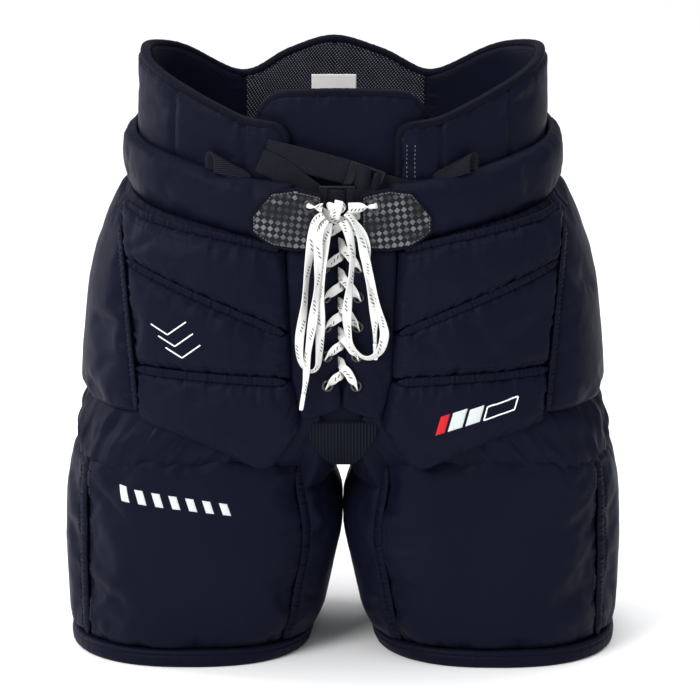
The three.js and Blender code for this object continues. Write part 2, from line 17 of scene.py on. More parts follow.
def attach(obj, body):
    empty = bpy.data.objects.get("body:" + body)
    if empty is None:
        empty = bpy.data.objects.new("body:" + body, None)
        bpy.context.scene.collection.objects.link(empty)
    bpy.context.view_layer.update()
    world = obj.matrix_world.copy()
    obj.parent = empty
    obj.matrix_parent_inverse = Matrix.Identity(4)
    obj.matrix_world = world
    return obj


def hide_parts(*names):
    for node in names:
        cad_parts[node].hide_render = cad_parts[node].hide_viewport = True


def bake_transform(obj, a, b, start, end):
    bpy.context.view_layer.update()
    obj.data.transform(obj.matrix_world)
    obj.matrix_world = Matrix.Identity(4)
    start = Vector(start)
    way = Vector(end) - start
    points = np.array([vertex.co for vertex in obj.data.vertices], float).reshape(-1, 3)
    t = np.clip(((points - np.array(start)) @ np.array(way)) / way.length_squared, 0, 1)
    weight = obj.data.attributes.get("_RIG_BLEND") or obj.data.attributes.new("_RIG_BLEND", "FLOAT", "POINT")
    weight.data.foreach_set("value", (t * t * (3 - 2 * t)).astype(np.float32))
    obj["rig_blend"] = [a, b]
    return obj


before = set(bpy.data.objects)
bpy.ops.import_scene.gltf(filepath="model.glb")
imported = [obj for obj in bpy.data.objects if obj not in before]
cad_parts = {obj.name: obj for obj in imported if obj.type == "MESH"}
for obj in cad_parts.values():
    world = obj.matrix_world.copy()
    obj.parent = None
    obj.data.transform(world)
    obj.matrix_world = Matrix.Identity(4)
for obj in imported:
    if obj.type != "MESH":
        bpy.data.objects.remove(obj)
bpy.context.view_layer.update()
MM = 0.001
LEFT, RIGHT = 1, -1
SIDE_NAME = {LEFT: "left", RIGHT: "right"}


# ---------------------------------------------------------------- small maths


def mix(start, end, share):
    return start + (end - start) * share


def along(pairs):
    """Reads [place, value] pairs with straight lines between them, held constant past both ends."""
    places, values = zip(*pairs)
    return lambda place: np.interp(place, places, values)


def curve_through(points, per_span=8):
    """A Catmull-Rom curve through the points, as an array of points."""
    points = np.asarray(points, float)
    padded = np.vstack([points[0], points, points[-1]])
    spans = []
    for before, start, end, after in zip(padded, padded[1:], padded[2:], padded[3:]):
        t = np.linspace(0, 1, per_span, endpoint=False)[:, None]
        spans.append(0.5 * (2 * start + (end - before) * t
                            + (2 * before - 5 * start + 4 * end - after) * t ** 2
                            + (3 * start - before - 3 * end + after) * t ** 3))
    return np.vstack(spans + [points[-1:]])


def smoothly(pairs):
    """Reads [place, value] pairs along one smooth curve."""
    return along(curve_through(pairs, 6))


def unit(vectors):
    return vectors / np.maximum(np.linalg.norm(vectors, axis=-1, keepdims=True), 1e-9)


def lengths_along(points):
    """The distance from the first point to each point of a path."""
    steps = np.linalg.norm(np.diff(points, axis=0), axis=1)
    return np.concatenate([[0.0], np.cumsum(steps)])


def evenly(points, step):
    """The same path with its points an even step apart."""
    points = np.asarray(points, float)
    place = lengths_along(points)
    count = max(2, int(round(place[-1] / step)) + 1)
    target = np.linspace(0, place[-1], count)
    return np.stack([np.interp(target, place, points[:, axis]) for axis in range(3)], axis=1)


def waves(place, length, seed):
    """A smooth irregular wave between about -1 and 1, with humps roughly one length apart."""
    rng = np.random.default_rng(seed)
    total = np.zeros_like(np.asarray(place, float))
    for share in (0.62, 1.0, 1.7):
        phase = rng.uniform(0, 2 * math.pi)
        total += np.sin(2 * math.pi * np.asarray(place) / (length * share) + phase)
    return total / 2.2


def smooth_step(low, high, value):
    share = np.clip((value - low) / (high - low), 0, 1)
    return share * share * (3 - 2 * share)


# ---------------------------------------------------------------- driving dimensions

SEAM = 2.5  # gap between two pads that are sewn side by side
FLAP_SEAM = 4  # gap above the hanging front flap, which swings there
CLEARANCE = 0.3  # gap between two pieces that touch

BODY_HALF_WIDTH = along([[200, 265], [300, 257], [400, 246], [430, 238], [462, 226]])
BODY_HALF_DEPTH = along([[300, 150], [400, 147], [430, 144], [462, 140]])

BELT_SIZE = (0, 216, 140, 2.6)
BELT_THICKNESS = 13
BELT_END_X = 50
BELT_BOTTOM = along([[24, 430], [82, 467], [180, 468]])
BELT_TOP = along([[20, 493], [34, 497], [46, 503], [63, 516], [80, 524], [100, 526]])
BELT_JOIN_ANGLE = 100

WRAP_SIZE = (0, 200, 122, 2.6)
WRAP_THICKNESS = 11
WRAP_BOTTOM = 452
WRAP_FRONT_X = 57
WRAP_JOIN_ANGLE = 96
WRAP_TOP = smoothly([
    [25, 546], [31, 550], [41, 554], [52, 568], [62, 582], [74, 595], [90, 602], [117, 589], [141, 554],
    [160, 575], [180, 588], [200, 575],
])
BACK_TURN = smoothly([[150, 0], [180, 4.5], [222, 5], [262, 0]])  # how far round the tall back is sewn off centre
MESH_START, MESH_END = 142, 224

LEG_OUTER_X = along([[0, 272], [110, 274], [160, 273], [200, 267]])
LEG_INNER_X = along([
    [0, 33], [16, 29], [40, 19], [75, 12], [118, 2.5], [145, 2], [165, 9], [180, 13], [218, 16],
])
LEG_HALF_DEPTH = 126
LEG_SQUARENESS = along([[0, 2.4], [40, 2.8], [110, 3.2]])  # the outline's power, rounder at the hem
HEM_HEIGHT = 16

PAD_THICKNESS = 16
PAD_INNER_X = along([[250, 43], [300, 54], [344, 55], [430, 61]])
UPPER_SEAM_Z = along([[0, 345], [1, 409]])
LOWER_SEAM_Z = along([[0, 299], [1, 305]])
FLAP_BOTTOM_Z = along([[0, 250], [0.16, 214], [0.26, 207], [0.68, 234], [1, 250]])

HIP_BOTTOM_Z = 258
HIP_END_ANGLE = 115
SEAT_END_ANGLE = 168
SEAT_BOTTOM_Z = 238
TAIL_ANGLE = 170
TAIL_BOTTOM_Z = 250
SHELL_OUTSET = -20.5
SHELL_THICKNESS = 3
SHELL_BOTTOM = along([[20, 305], [50, 300], [75, 262], [110, 262], [135, 240]])

FLY_OUTSET = -12
FLY_THICKNESS = 4
FLY_GAP_X = 4
FLY_BOTTOM_Z = 258
FLY_TOP_Z = 456
FLY_OUTER_X = along([[258, 40], [300, 50.5], [344, 52], [427, 56], [432, 44], [456, 40]])
EYELET_LEVELS = 6
EYELET_FIRST_Z = 293
EYELET_STEP_Z = 29.5
LACE_WIDTH = 9
LACE_THICKNESS = 1.5
LACE_RADIUS = 1.8

TAB_THICKNESS = 2.2
TAB_EYELET_X = 31
TAB_EYELET_Z = 474
TAB_TOP = along([[19, 484], [45, 490], [66, 487], [86, 462]])
TAB_BOTTOM = along([[19, 431], [45, 430], [66, 433], [86, 447]])

STRAP_WIDTH = 25
STRAP_THICKNESS = 1.5


def pad_outer_x(z):
    return 204 + (z - 250) * 0.09


def eyelet_x(level):
    return 14 + 0.7 * level


# ---------------------------------------------------------------- rings


def body_ring(z):
    return 0, BODY_HALF_WIDTH(z), BODY_HALF_DEPTH(z), 3


def belt_ring(z):
    return BELT_SIZE


def wrap_ring(z):
    return WRAP_SIZE


def leg_ring(z):
    outer = LEG_OUTER_X(z)
    inner = LEG_INNER_X(z)
    return (outer + inner) / 2, (outer - inner) / 2, LEG_HALF_DEPTH, LEG_SQUARENESS(z)


def ring_point(ring, angle, offset, z):
    centre, half_width, half_depth, power = ring(z)
    turn = np.radians(angle)
    across = np.abs(np.sin(turn)) / (half_width + offset)
    deep = np.abs(np.cos(turn)) / (half_depth + offset)
    radius = (across ** power + deep ** power) ** (-1 / power)
    x, y, z = np.broadcast_arrays(centre + radius * np.sin(turn), -radius * np.cos(turn), z)
    return np.stack([x, y, z], axis=-1)


def front_depth(ring, x, z=0):
    centre, half_width, half_depth, power = ring(z)
    share = np.abs(x - centre) / half_width
    return half_depth * (1 - share ** power) ** (1 / power)


def front_angle(ring, x, z=0):
    centre = ring(z)[0]
    return np.degrees(np.arctan2(x - centre, front_depth(ring, x, z)))


def ring_normal(ring, angle, z):
    """The direction that points straight out of the ring at an angle."""
    ahead = ring_point(ring, angle + 0.3, 0, z) - ring_point(ring, angle - 0.3, 0, z)
    normal = np.stack([-ahead[..., 1], ahead[..., 0], np.zeros_like(ahead[..., 0])], axis=-1)
    return unit(-normal)


def panel_size(ring, place, outset):
    """The width and the height of a panel, measured through its middle."""
    line, half = np.linspace(0, 1, 24), np.full(24, 0.5)
    sizes = []
    for u, v in ((line, half), (half, line)):
        angle, z = place(u, v)
        sizes.append(lengths_along(ring_point(ring, angle, outset, z))[-1])
    return sizes


def mirrored(points, side):
    return points * np.array([side, 1, 1])


# ---------------------------------------------------------------- meshes


def make_piece(name, points, faces, materials, slot, body=None, attributes=None, face_material=None):
    """A smooth-shaded mesh piece. points are in millimetres. A piece with no body is blended later."""
    mesh = bpy.data.meshes.new(name)
    mesh.from_pydata((np.asarray(points) * MM).tolist(), [], [list(map(int, face)) for face in faces])
    for material in materials:
        mesh.materials.append(material)
    mesh.polygons.foreach_set("use_smooth", [True] * len(mesh.polygons))
    if face_material is not None:
        mesh.polygons.foreach_set("material_index", np.asarray(face_material, int))
    for attribute, values in (attributes or {}).items():
        layer = mesh.attributes.new(attribute, "FLOAT_VECTOR", "POINT")
        layer.data.foreach_set("vector", np.asarray(values, float).ravel())
    mesh.update()
    piece = bpy.data.objects.new(name, mesh)
    bpy.context.collection.objects.link(piece)
    if body:
        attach(piece, body)
    return piece


def quad_grid(columns, rows, start=0, wrap=False, flip=False):
    """Faces between the points of a grid that is stored column by column."""
    faces = []
    for i in range(columns if wrap else columns - 1):
        near = start + i * rows
        far = start + ((i + 1) % columns) * rows
        for j in range(rows - 1):
            face = [near + j, far + j, far + j + 1, near + j + 1]
            faces.append(face[::-1] if flip else face)
    return faces


def sweep(path, normals, profile, scale=None, closed=False):
    """A solid made by moving a closed profile along a path.

    Each profile point is (out along the normal, along the other direction). scale, where given,
    holds a pair of factors for each path point."""
    path = np.asarray(path, float)
    ahead = np.roll(path, -1, 0) - np.roll(path, 1, 0) if closed else np.gradient(path, axis=0)
    tangent = unit(ahead)
    normals = unit(normals - tangent * np.sum(normals * tangent, axis=1, keepdims=True))
    other = np.cross(tangent, normals)
    profile = np.asarray(profile, float)
    factors = np.ones((len(path), 2)) if scale is None else np.asarray(scale, float)
    out = profile[None, :, 0] * factors[:, None, 0]
    over = profile[None, :, 1] * factors[:, None, 1]
    points = path[:, None] + out[..., None] * normals[:, None] + over[..., None] * other[:, None]
    stations, corners = points.shape[:2]
    faces = []
    for i in range(stations if closed else stations - 1):
        near, far = i * corners, ((i + 1) % stations) * corners
        for j in range(corners):
            k = (j + 1) % corners
            faces.append([near + j, near + k, far + k, far + j])
    if not closed:
        faces.append(list(range(corners))[::-1])
        faces.append(list(range((stations - 1) * corners, stations * corners)))
    points = points.reshape(-1, 3)
    return points, faces


def outward(points, faces):
    """Turns all faces over if the solid is inside out."""
    points = np.asarray(points)
    volume = 0.0
    for face in faces:
        for second, third in zip(face[1:], face[2:]):
            volume += np.dot(points[face[0]], np.cross(points[second], points[third]))
    return faces if volume > 0 else [face[::-1] for face in faces]


def rounded_profile(width, height, radius, corner_steps=3):
    """A rounded rectangle around its own middle."""
    corners = []
    for turn, (sx, sy) in enumerate([(1, 1), (-1, 1), (-1, -1), (1, -1)]):
        centre = np.array([sx * (width / 2 - radius), sy * (height / 2 - radius)])
        for step in range(corner_steps + 1):
            angle = math.pi / 2 * (turn + step / corner_steps)
            corners.append(centre + radius * np.array([math.cos(angle), math.sin(angle)]))
    return np.array(corners)


def joined(solids):
    """Puts several (points, faces) solids in one mesh."""
    all_points, all_faces, start = [], [], 0
    for points, faces in solids:
        all_points.append(points)
        all_faces += [[start + corner for corner in face] for face in outward(points, faces)]
        start += len(points)
    return np.vstack(all_points), all_faces


# ---------------------------------------------------------------- materials


class Nodes:
    """A material's node tree, with short ways to add and join nodes."""

    def __init__(self, name):
        self.material = bpy.data.materials.new(name)
        self.material.use_nodes = True
        self.tree = self.material.node_tree
        self.shader = self.tree.nodes["Principled BSDF"]

    def add(self, kind, inputs=None, **settings):
        node = self.tree.nodes.new(kind)
        for key, value in settings.items():
            setattr(node, key, value)
        for key, value in (inputs or {}).items():
            self.plug(value, node.inputs[key])
        return node

    def plug(self, value, socket):
        if isinstance(value, bpy.types.NodeSocket):
            self.tree.links.new(value, socket)
        else:
            socket.default_value = value

    def maths(self, operation, first, second=0.0):
        node = self.add("ShaderNodeMath", operation=operation)
        self.plug(first, node.inputs[0])
        self.plug(second, node.inputs[1])
        return node.outputs[0]

    def attribute(self, name):
        """The x and y of a named point attribute."""
        source = self.add("ShaderNodeAttribute", attribute_name=name)
        split = self.add("ShaderNodeSeparateXYZ", {"Vector": source.outputs["Vector"]})
        return split.outputs["X"], split.outputs["Y"]

    def stripes(self, place, pitch, phase=0.0):
        """A wave from 0 to 1 along a coordinate."""
        turns = self.maths("MULTIPLY_ADD", place, 2 * math.pi / pitch)
        self.plug(phase, turns.node.inputs[2])
        wave = self.maths("SINE", turns)
        half = self.maths("MULTIPLY_ADD", wave, 0.5)
        self.plug(0.5, half.node.inputs[2])
        return half

    def noise(self, scale, detail=3.0):
        where = self.add("ShaderNodeTexCoord").outputs["Object"]
        return self.add("ShaderNodeTexNoise", {"Vector": where, "Scale": scale, "Detail": detail}).outputs["Fac"]

    def blend(self, share, first, second):
        node = self.add("ShaderNodeMix", data_type="RGBA")
        self.plug(share, node.inputs[0])
        self.plug(first, node.inputs[6])
        self.plug(second, node.inputs[7])
        return node.outputs[2]

    def spread(self, value, low, high):
        node = self.add("ShaderNodeMapRange", {"Value": value, "To Min": low, "To Max": high})
        return node.outputs["Result"]

    def bump(self, height, distance, strength=1.0, below=None):
        node = self.add("ShaderNodeBump", {"Height": height, "Distance": distance, "Strength": strength})
        if below is not None:
            self.plug(below, node.inputs["Normal"])
        return node.outputs["Normal"]

    def finish(self, **sockets):
        names = {name.lower().replace(" ", "_"): name for name in self.shader.inputs.keys()}
        for key, value in sockets.items():
            self.plug(value, self.shader.inputs[names[key]])
        return self.material


def colour(red, green, blue):
    return red, green, blue, 1.0


def woven_nylon(name, dark, light, roughness=0.52, thread=0.55 * MM):
    """Coated nylon: a fine basket weave with a soft satin sheen and slightly uneven colour."""
    nodes = Nodes(name)
    s, t = nodes.attribute("weave")
    warp = nodes.stripes(s, thread)
    weft = nodes.stripes(t, thread, math.pi / 2)
    weave = nodes.maths("MULTIPLY", warp, weft)
    clouds = nodes.noise(9.0)
    grain = nodes.noise(160.0)
    tone = nodes.maths("ADD", nodes.maths("MULTIPLY", clouds, 0.75), nodes.maths("MULTIPLY", weave, 0.25))
    creased = nodes.bump(grain, 0.12 * MM, 0.35)
    return nodes.finish(
        base_color=nodes.blend(tone, dark, light),
        roughness=nodes.spread(nodes.noise(40.0), roughness - 0.07, roughness + 0.07),
        normal=nodes.bump(weave, 0.05 * MM, 0.5, creased),
        specular_ior_level=0.05,
        sheen_weight=0.012,
        sheen_roughness=0.45,
        sheen_tint=colour(0.5, 0.56, 0.85),
    )


def mesh_lining():
    """Spacer mesh: a black knit with rows of small open cells that show a paler layer."""
    nodes = Nodes("mesh_lining")
    s, t = nodes.attribute("weave")
    pitch = 3.7 * MM
    rows = nodes.maths("MULTIPLY", nodes.stripes(s, pitch), nodes.stripes(t, pitch))
    between = nodes.maths(
        "MULTIPLY", nodes.stripes(s, pitch, math.pi), nodes.stripes(t, pitch, math.pi))
    cells = nodes.maths("MAXIMUM", rows, between)
    holes = nodes.add("ShaderNodeMapRange", {"Value": cells, "From Min": 0.5, "From Max": 0.78})
    open_cell = holes.outputs["Result"]
    uneven = nodes.maths("MULTIPLY", open_cell, nodes.spread(nodes.noise(55.0), 0.4, 1.0))
    return nodes.finish(
        base_color=nodes.blend(uneven, colour(0.003, 0.0035, 0.007), colour(0.17, 0.18, 0.215)),
        roughness=0.85,
        normal=nodes.bump(open_cell, 0.7 * MM, 0.8),
        specular_ior_level=0.1,
    )


def ribbed_webbing():
    """Woven polyester webbing: slanting ribs crossed by fine threads."""
    nodes = Nodes("webbing_weave")
    s, t = nodes.attribute("weave")
    slanted = nodes.maths("ADD", s, nodes.maths("MULTIPLY", t, 0.45))
    ribs = nodes.stripes(slanted, 2.0 * MM)
    threads = nodes.stripes(t, 0.9 * MM)
    height = nodes.maths("ADD", ribs, nodes.maths("MULTIPLY", threads, 0.35))
    return nodes.finish(
        base_color=nodes.blend(ribs, colour(0.0004, 0.0004, 0.0010), colour(0.0135, 0.0150, 0.0240)),
        roughness=nodes.spread(nodes.noise(70.0), 0.5, 0.68),
        normal=nodes.bump(height, 0.3 * MM, 0.9),
        specular_ior_level=0.08,
    )


def checked_board():
    """The tabs' board: silver and black squares in a basket weave under a clear gloss, the silver painted brighter
    in random patches as a painted reflection.
    """
    nodes = Nodes("checked_board")
    s, t = nodes.attribute("weave")
    where = nodes.add("ShaderNodeCombineXYZ", {"X": s, "Y": t})
    turned = nodes.add(
        "ShaderNodeMapping", {"Vector": where.outputs[0], "Rotation": (0, 0, math.radians(38))})
    split = nodes.add("ShaderNodeSeparateXYZ", {"Vector": turned.outputs[0]})
    pitch = 9.6 * MM
    across, upward = split.outputs["X"], split.outputs["Y"]
    squares = []
    for phase in (0.0, math.pi):
        wide = nodes.maths("GREATER_THAN", nodes.stripes(across, pitch, phase), 0.6)
        tall = nodes.maths("GREATER_THAN", nodes.stripes(upward, pitch, phase), 0.6)
        squares.append(nodes.maths("MULTIPLY", wide, tall))
    squares = nodes.maths("MAXIMUM", *squares)
    threads = nodes.stripes(across, 1.1 * MM)
    crossing = nodes.stripes(upward, 1.1 * MM)
    weave = nodes.add("ShaderNodeMix", {0: squares, 2: threads, 3: crossing})
    # Painted reflection: the silver squares are painted bright only in random patches, standing in for the gloss
    # catching the light, then dimmed a little along the weave threads.
    patchy = nodes.add("ShaderNodeMapRange", {"Value": nodes.noise(60.0, 1.0), "From Min": 0.38, "From Max": 0.62})
    shine = nodes.maths("MULTIPLY", squares, nodes.spread(patchy.outputs["Result"], 0.12, 1.0))
    painted_silver_shine = nodes.maths("MULTIPLY", shine, nodes.spread(weave.outputs[0], 0.55, 1.0))
    return nodes.finish(
        base_color=nodes.blend(painted_silver_shine, colour(0.002, 0.0024, 0.004), colour(0.17, 0.18, 0.20)),
        metallic=nodes.maths("MULTIPLY", squares, 0.3),
        specular_ior_level=0.12,
        roughness=nodes.spread(nodes.noise(120.0), 0.28, 0.42),
        normal=nodes.bump(weave.outputs[0], 0.12 * MM, 0.6),
        coat_weight=0.12,
        coat_roughness=0.2,
    )


def flat_lace():
    """White waxed lace: a fine braid with a wandering row of slanted black ticks, in short groups."""
    nodes = Nodes("white_lace")
    s, t = nodes.attribute("weave")
    braid = nodes.maths(
        "MULTIPLY",
        nodes.stripes(nodes.maths("ADD", s, t), 1.3 * MM),
        nodes.stripes(nodes.maths("SUBTRACT", s, t), 1.3 * MM),
    )
    slanted = nodes.maths("ADD", s, nodes.maths("MULTIPLY", t, 0.8))
    tick = nodes.maths("GREATER_THAN", nodes.stripes(slanted, 3.6 * MM), 0.68)
    wander = nodes.maths("MULTIPLY", nodes.maths("SUBTRACT", nodes.stripes(s, 61 * MM), 0.5), 4.4 * MM)
    row = nodes.maths("COMPARE", t, wander)
    nodes.plug(1.25 * MM, row.node.inputs[2])
    broken = nodes.maths("GREATER_THAN", nodes.stripes(s, 27 * MM), 0.5)
    ticks = nodes.maths("MULTIPLY", nodes.maths("MULTIPLY", tick, row), broken)
    cloth = nodes.blend(braid, colour(0.62, 0.62, 0.6), colour(0.87, 0.87, 0.85))
    return nodes.finish(
        base_color=nodes.blend(ticks, cloth, colour(0.02, 0.02, 0.025)),
        roughness=nodes.spread(nodes.noise(90.0), 0.62, 0.8),
        normal=nodes.bump(braid, 0.2 * MM, 0.7),
        subsurface_weight=0.05,
        subsurface_scale=0.002,
    )


def moulded_plastic(name, base, roughness=0.34, spark=0.5):
    """Injection-moulded plastic with a very fine spark-eroded grain and handling wear."""
    nodes = Nodes(name)
    grain = nodes.noise(900.0, 2.0)
    wear = nodes.noise(60.0)
    light = tuple(min(1.0, channel * 1.9 + 0.002) for channel in base[:3]) + (1.0,)
    return nodes.finish(
        base_color=nodes.blend(nodes.maths("MULTIPLY", wear, 0.7), base, light),
        roughness=nodes.spread(wear, roughness - 0.08, roughness + 0.14),
        normal=nodes.bump(grain, 0.03 * MM, spark),
        specular_ior_level=0.22,
    )


def enamelled_metal():
    nodes = Nodes("black_enamel")
    wear = nodes.noise(220.0)
    chips = nodes.add("ShaderNodeMapRange", {"Value": wear, "From Min": 0.66, "From Max": 0.76})
    chipped = chips.outputs["Result"]
    return nodes.finish(
        base_color=nodes.blend(chipped, colour(0.008, 0.008, 0.01), colour(0.2, 0.2, 0.21)),
        metallic=nodes.maths("MULTIPLY", chipped, 0.8),
        roughness=nodes.spread(nodes.noise(80.0), 0.2, 0.38),
        normal=nodes.bump(wear, 0.05 * MM, 0.3),
        coat_weight=0.3,
    )


def plain_thread(name, base):
    nodes = Nodes(name)
    twist = nodes.noise(1400.0, 2.0)
    bright = tuple(min(1.0, channel * 1.5) for channel in base[:3]) + (1.0,)
    return nodes.finish(
        base_color=nodes.blend(twist, base, bright),
        roughness=nodes.spread(nodes.noise(400.0), 0.5, 0.7),
        specular_ior_level=0.15,
        normal=nodes.bump(twist, 0.1 * MM, 0.6),
    )


def satin_label():
    nodes = Nodes("satin_label")
    s, t = nodes.attribute("weave")
    threads = nodes.stripes(t, 0.35 * MM)
    soft = nodes.noise(50.0)
    return nodes.finish(
        base_color=nodes.blend(soft, colour(0.62, 0.61, 0.59), colour(0.78, 0.77, 0.75)),
        roughness=nodes.spread(soft, 0.42, 0.58),
        normal=nodes.bump(threads, 0.05 * MM, 0.4),
    )


def knitted_rib():
    """Stretch fabric for the crotch: soft vertical ribs."""
    nodes = Nodes("knitted_rib")
    s, t = nodes.attribute("weave")
    ribs = nodes.stripes(t, 3.2 * MM)
    stitches = nodes.stripes(s, 1.1 * MM)
    height = nodes.maths("ADD", ribs, nodes.maths("MULTIPLY", stitches, 0.25))
    return nodes.finish(
        base_color=nodes.blend(ribs, colour(0.002, 0.0024, 0.005), colour(0.008, 0.0095, 0.018)),
        roughness=nodes.spread(nodes.noise(60.0), 0.72, 0.86),
        normal=nodes.bump(height, 0.5 * MM, 0.9),
        specular_ior_level=0.05,
        sheen_weight=0.01,
    )


NYLON = woven_nylon("navy_nylon", colour(0.0021, 0.0026, 0.0090), colour(0.0050, 0.0060, 0.0160))
BINDING = woven_nylon(
    "binding_tape", colour(0.0012, 0.0015, 0.0048), colour(0.0038, 0.0045, 0.0110), 0.62, 0.9 * MM)
LINING = mesh_lining()
WEBBING = ribbed_webbing()
BOARD = checked_board()
LACE = flat_lace()
PLASTIC = moulded_plastic("black_plastic", colour(0.0015, 0.0018, 0.0035))
INSERT = moulded_plastic("insert_board", colour(0.03, 0.031, 0.034), 0.55)
TIP = moulded_plastic("lace_tip", colour(0.82, 0.82, 0.80), 0.24, 0.2)
ENAMEL = enamelled_metal()
THREAD = plain_thread("navy_thread", colour(0.0012, 0.0014, 0.0030))
PALE_THREAD = plain_thread("grey_thread", colour(0.16, 0.165, 0.18))
SILVER_THREAD = plain_thread("silver_thread", colour(0.46, 0.49, 0.49))
WHITE_THREAD = plain_thread("white_thread", colour(0.74, 0.74, 0.74))
RED_THREAD = plain_thread("red_thread", colour(0.42, 0.012, 0.016))
LABEL = satin_label()
RIB_KNIT = knitted_rib()


# ---------------------------------------------------------------- pads


class Pad:
    """A padded panel on a ring: its outer and inner skins are grids that meet at the edges."""

    def __init__(self, name, ring, place, outset=0, thickness=14, side=LEFT, body="pants", slot="nylon",
                 roll=14, sink=6, crown=2.0, back_sink=0, loose=0.05, cap=4.0, pressure=2.2,
                 gather=1.0, step=6.0, fill=0.7, lined=True, grooves=(), lean=None, seed=1, replaces=None):
        self.name = name
        self.ring = ring
        self.place = place
        self.outset = outset
        self.thickness = thickness
        self.side = side
        self.roll = roll
        self.sink = sink
        self.crown = crown
        self.back_sink = back_sink
        self.loose = loose
        self.cap = cap
        self.pressure = pressure
        self.gather = gather
        self.grooves = grooves
        self.lean = lean or (lambda z: 0.0)
        self.seed = seed
        self.build(step, body, slot, lined)
        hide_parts(replaces or name)

    def build(self, step, body, slot, lined):
        wide, tall = panel_size(self.ring, self.place, self.outset)
        columns = max(6, int(round(wide / step)) + 1)
        rows = max(5, int(round(tall / step)) + 1)
        u, v = np.meshgrid(np.linspace(0, 1, columns), np.linspace(0, 1, rows), indexing="ij")
        angle, z = self.place(u, v)
        flat = ring_point(self.ring, angle, self.outset, z)
        across = np.linalg.norm(np.diff(flat, axis=0), axis=2)
        upward = np.linalg.norm(np.diff(flat, axis=1), axis=2)
        s = np.vstack([np.zeros(rows), np.cumsum(across, axis=0)])
        t = np.hstack([np.zeros((columns, 1)), np.cumsum(upward, axis=1)])
        near = [s, s[-1:] - s, t, t[:, -1:] - t]
        level = np.ones_like(s)
        for distance in near:
            inside = 1 - np.clip(distance / self.roll, 0, 1)
            level = level * np.sqrt(np.clip(1 - inside ** 2, 0, 1))
        dome = np.sin(math.pi * np.clip(s / s[-1:], 0, 1)) * np.sin(math.pi * np.clip(t / t[:, -1:], 0, 1))
        rng = np.random.default_rng(self.seed)
        rough = rng.normal(0, 0.25, s.shape) * level
        outer_offset = self.outset + self.lean(z) - self.sink * (1 - level) + self.crown * (dome - 1) + rough
        inner_offset = self.outset - self.thickness + self.back_sink * (1 - level)
        outer = ring_point(self.ring, angle, outer_offset, z).reshape(-1, 3)
        inner = ring_point(self.ring, angle, inner_offset, z).reshape(-1, 3)
        points = mirrored(np.vstack([outer, inner]), self.side)
        flip = self.side == RIGHT
        count = columns * rows
        faces = quad_grid(columns, rows, flip=flip)
        skin_faces = len(faces)
        back = quad_grid(columns, rows, start=count, flip=not flip)
        faces += back
        faces += self.rim(columns, rows, count, flip)
        materials = [NYLON, LINING]
        first, last = lined if isinstance(lined, tuple) else ((-999, 999) if lined else (0, 0))
        middle = (angle[:-1, :-1] + angle[1:, :-1]).ravel() / 2
        back_material = ((middle > first) & (middle < last)).astype(int).tolist()
        face_material = [0] * skin_faces + back_material + [0] * (len(faces) - skin_faces - len(back))
        flag = np.concatenate([np.ones(count), np.zeros(count)])
        twice = lambda values: np.tile(values.ravel(), 2)
        attributes = {
            "weave": np.stack([twice(s) * MM, twice(t) * MM, flag], axis=1),
            "near_edges": np.stack([twice(near[0]), twice(near[2]), flag], axis=1),
            "far_edges": np.stack([twice(near[1]), twice(near[3]), twice(angle)], axis=1),
        }
        self.held = 1 - 0.999 * np.concatenate([np.clip((level - 0.35) / 0.5, 0, 1).ravel(), np.zeros(count)])
        self.rest = points
        self.piece = make_piece(
            self.name + "_cover", points, faces, materials, slot, body, attributes, face_material)

    @staticmethod
    def rim(columns, rows, count, flip):
        """The faces that close the four edges between the outer and the inner skin."""
        bottom = [i * rows for i in range(columns)]
        far = [(columns - 1) * rows + j for j in range(rows)]
        top = [i * rows + rows - 1 for i in reversed(range(columns))]
        near = [j for j in reversed(range(rows))]
        loop = bottom + far[1:] + top[1:] + near[1:-1]
        faces = []
        for here, there in zip(loop, loop[1:] + loop[:1]):
            face = [here, here + count, there + count, there]
            faces.append(face[::-1] if flip else face)
        return faces

    def hang_cloth(self):
        """Gives the cover a cloth simulation: oversized fabric, held at its seams, over pressed foam."""
        held = self.piece.vertex_groups.new(name="held")
        for index, weight in enumerate(self.held):
            held.add([index], float(weight), "REPLACE")
        cloth = self.piece.modifiers.new("cloth", "CLOTH")
        cloth.settings.vertex_group_mass = "held"
        cloth.settings.quality = 4
        cloth.settings.mass = 0.15
        cloth.settings.tension_stiffness = 12
        cloth.settings.compression_stiffness = 12
        cloth.settings.shear_stiffness = 5
        cloth.settings.bending_stiffness = 0.12
        cloth.settings.use_pressure = True
        cloth.settings.uniform_pressure_force = self.pressure
        cloth.settings.shrink_min = -self.loose
        cloth.settings.effector_weights.gravity = 0
        cloth.collision_settings.use_collision = False
        cloth.collision_settings.use_self_collision = False

    def settle(self):
        """Keeps the simulated shape, with no point further than the cap from where it began."""
        depsgraph = bpy.context.evaluated_depsgraph_get()
        shaped = self.piece.evaluated_get(depsgraph).to_mesh()
        moved = np.empty(len(shaped.vertices) * 3)
        shaped.vertices.foreach_get("co", moved)
        self.piece.evaluated_get(depsgraph).to_mesh_clear()
        shift = moved.reshape(-1, 3) / MM - self.rest
        far = np.maximum(np.linalg.norm(shift, axis=1, keepdims=True), 1e-6)
        shift *= np.minimum(1, self.cap / far)
        self.piece.modifiers.clear()
        self.piece.vertex_groups.clear()
        self.piece.data.vertices.foreach_set("co", ((self.rest + shift) * MM).ravel())
        self.piece.data.update()

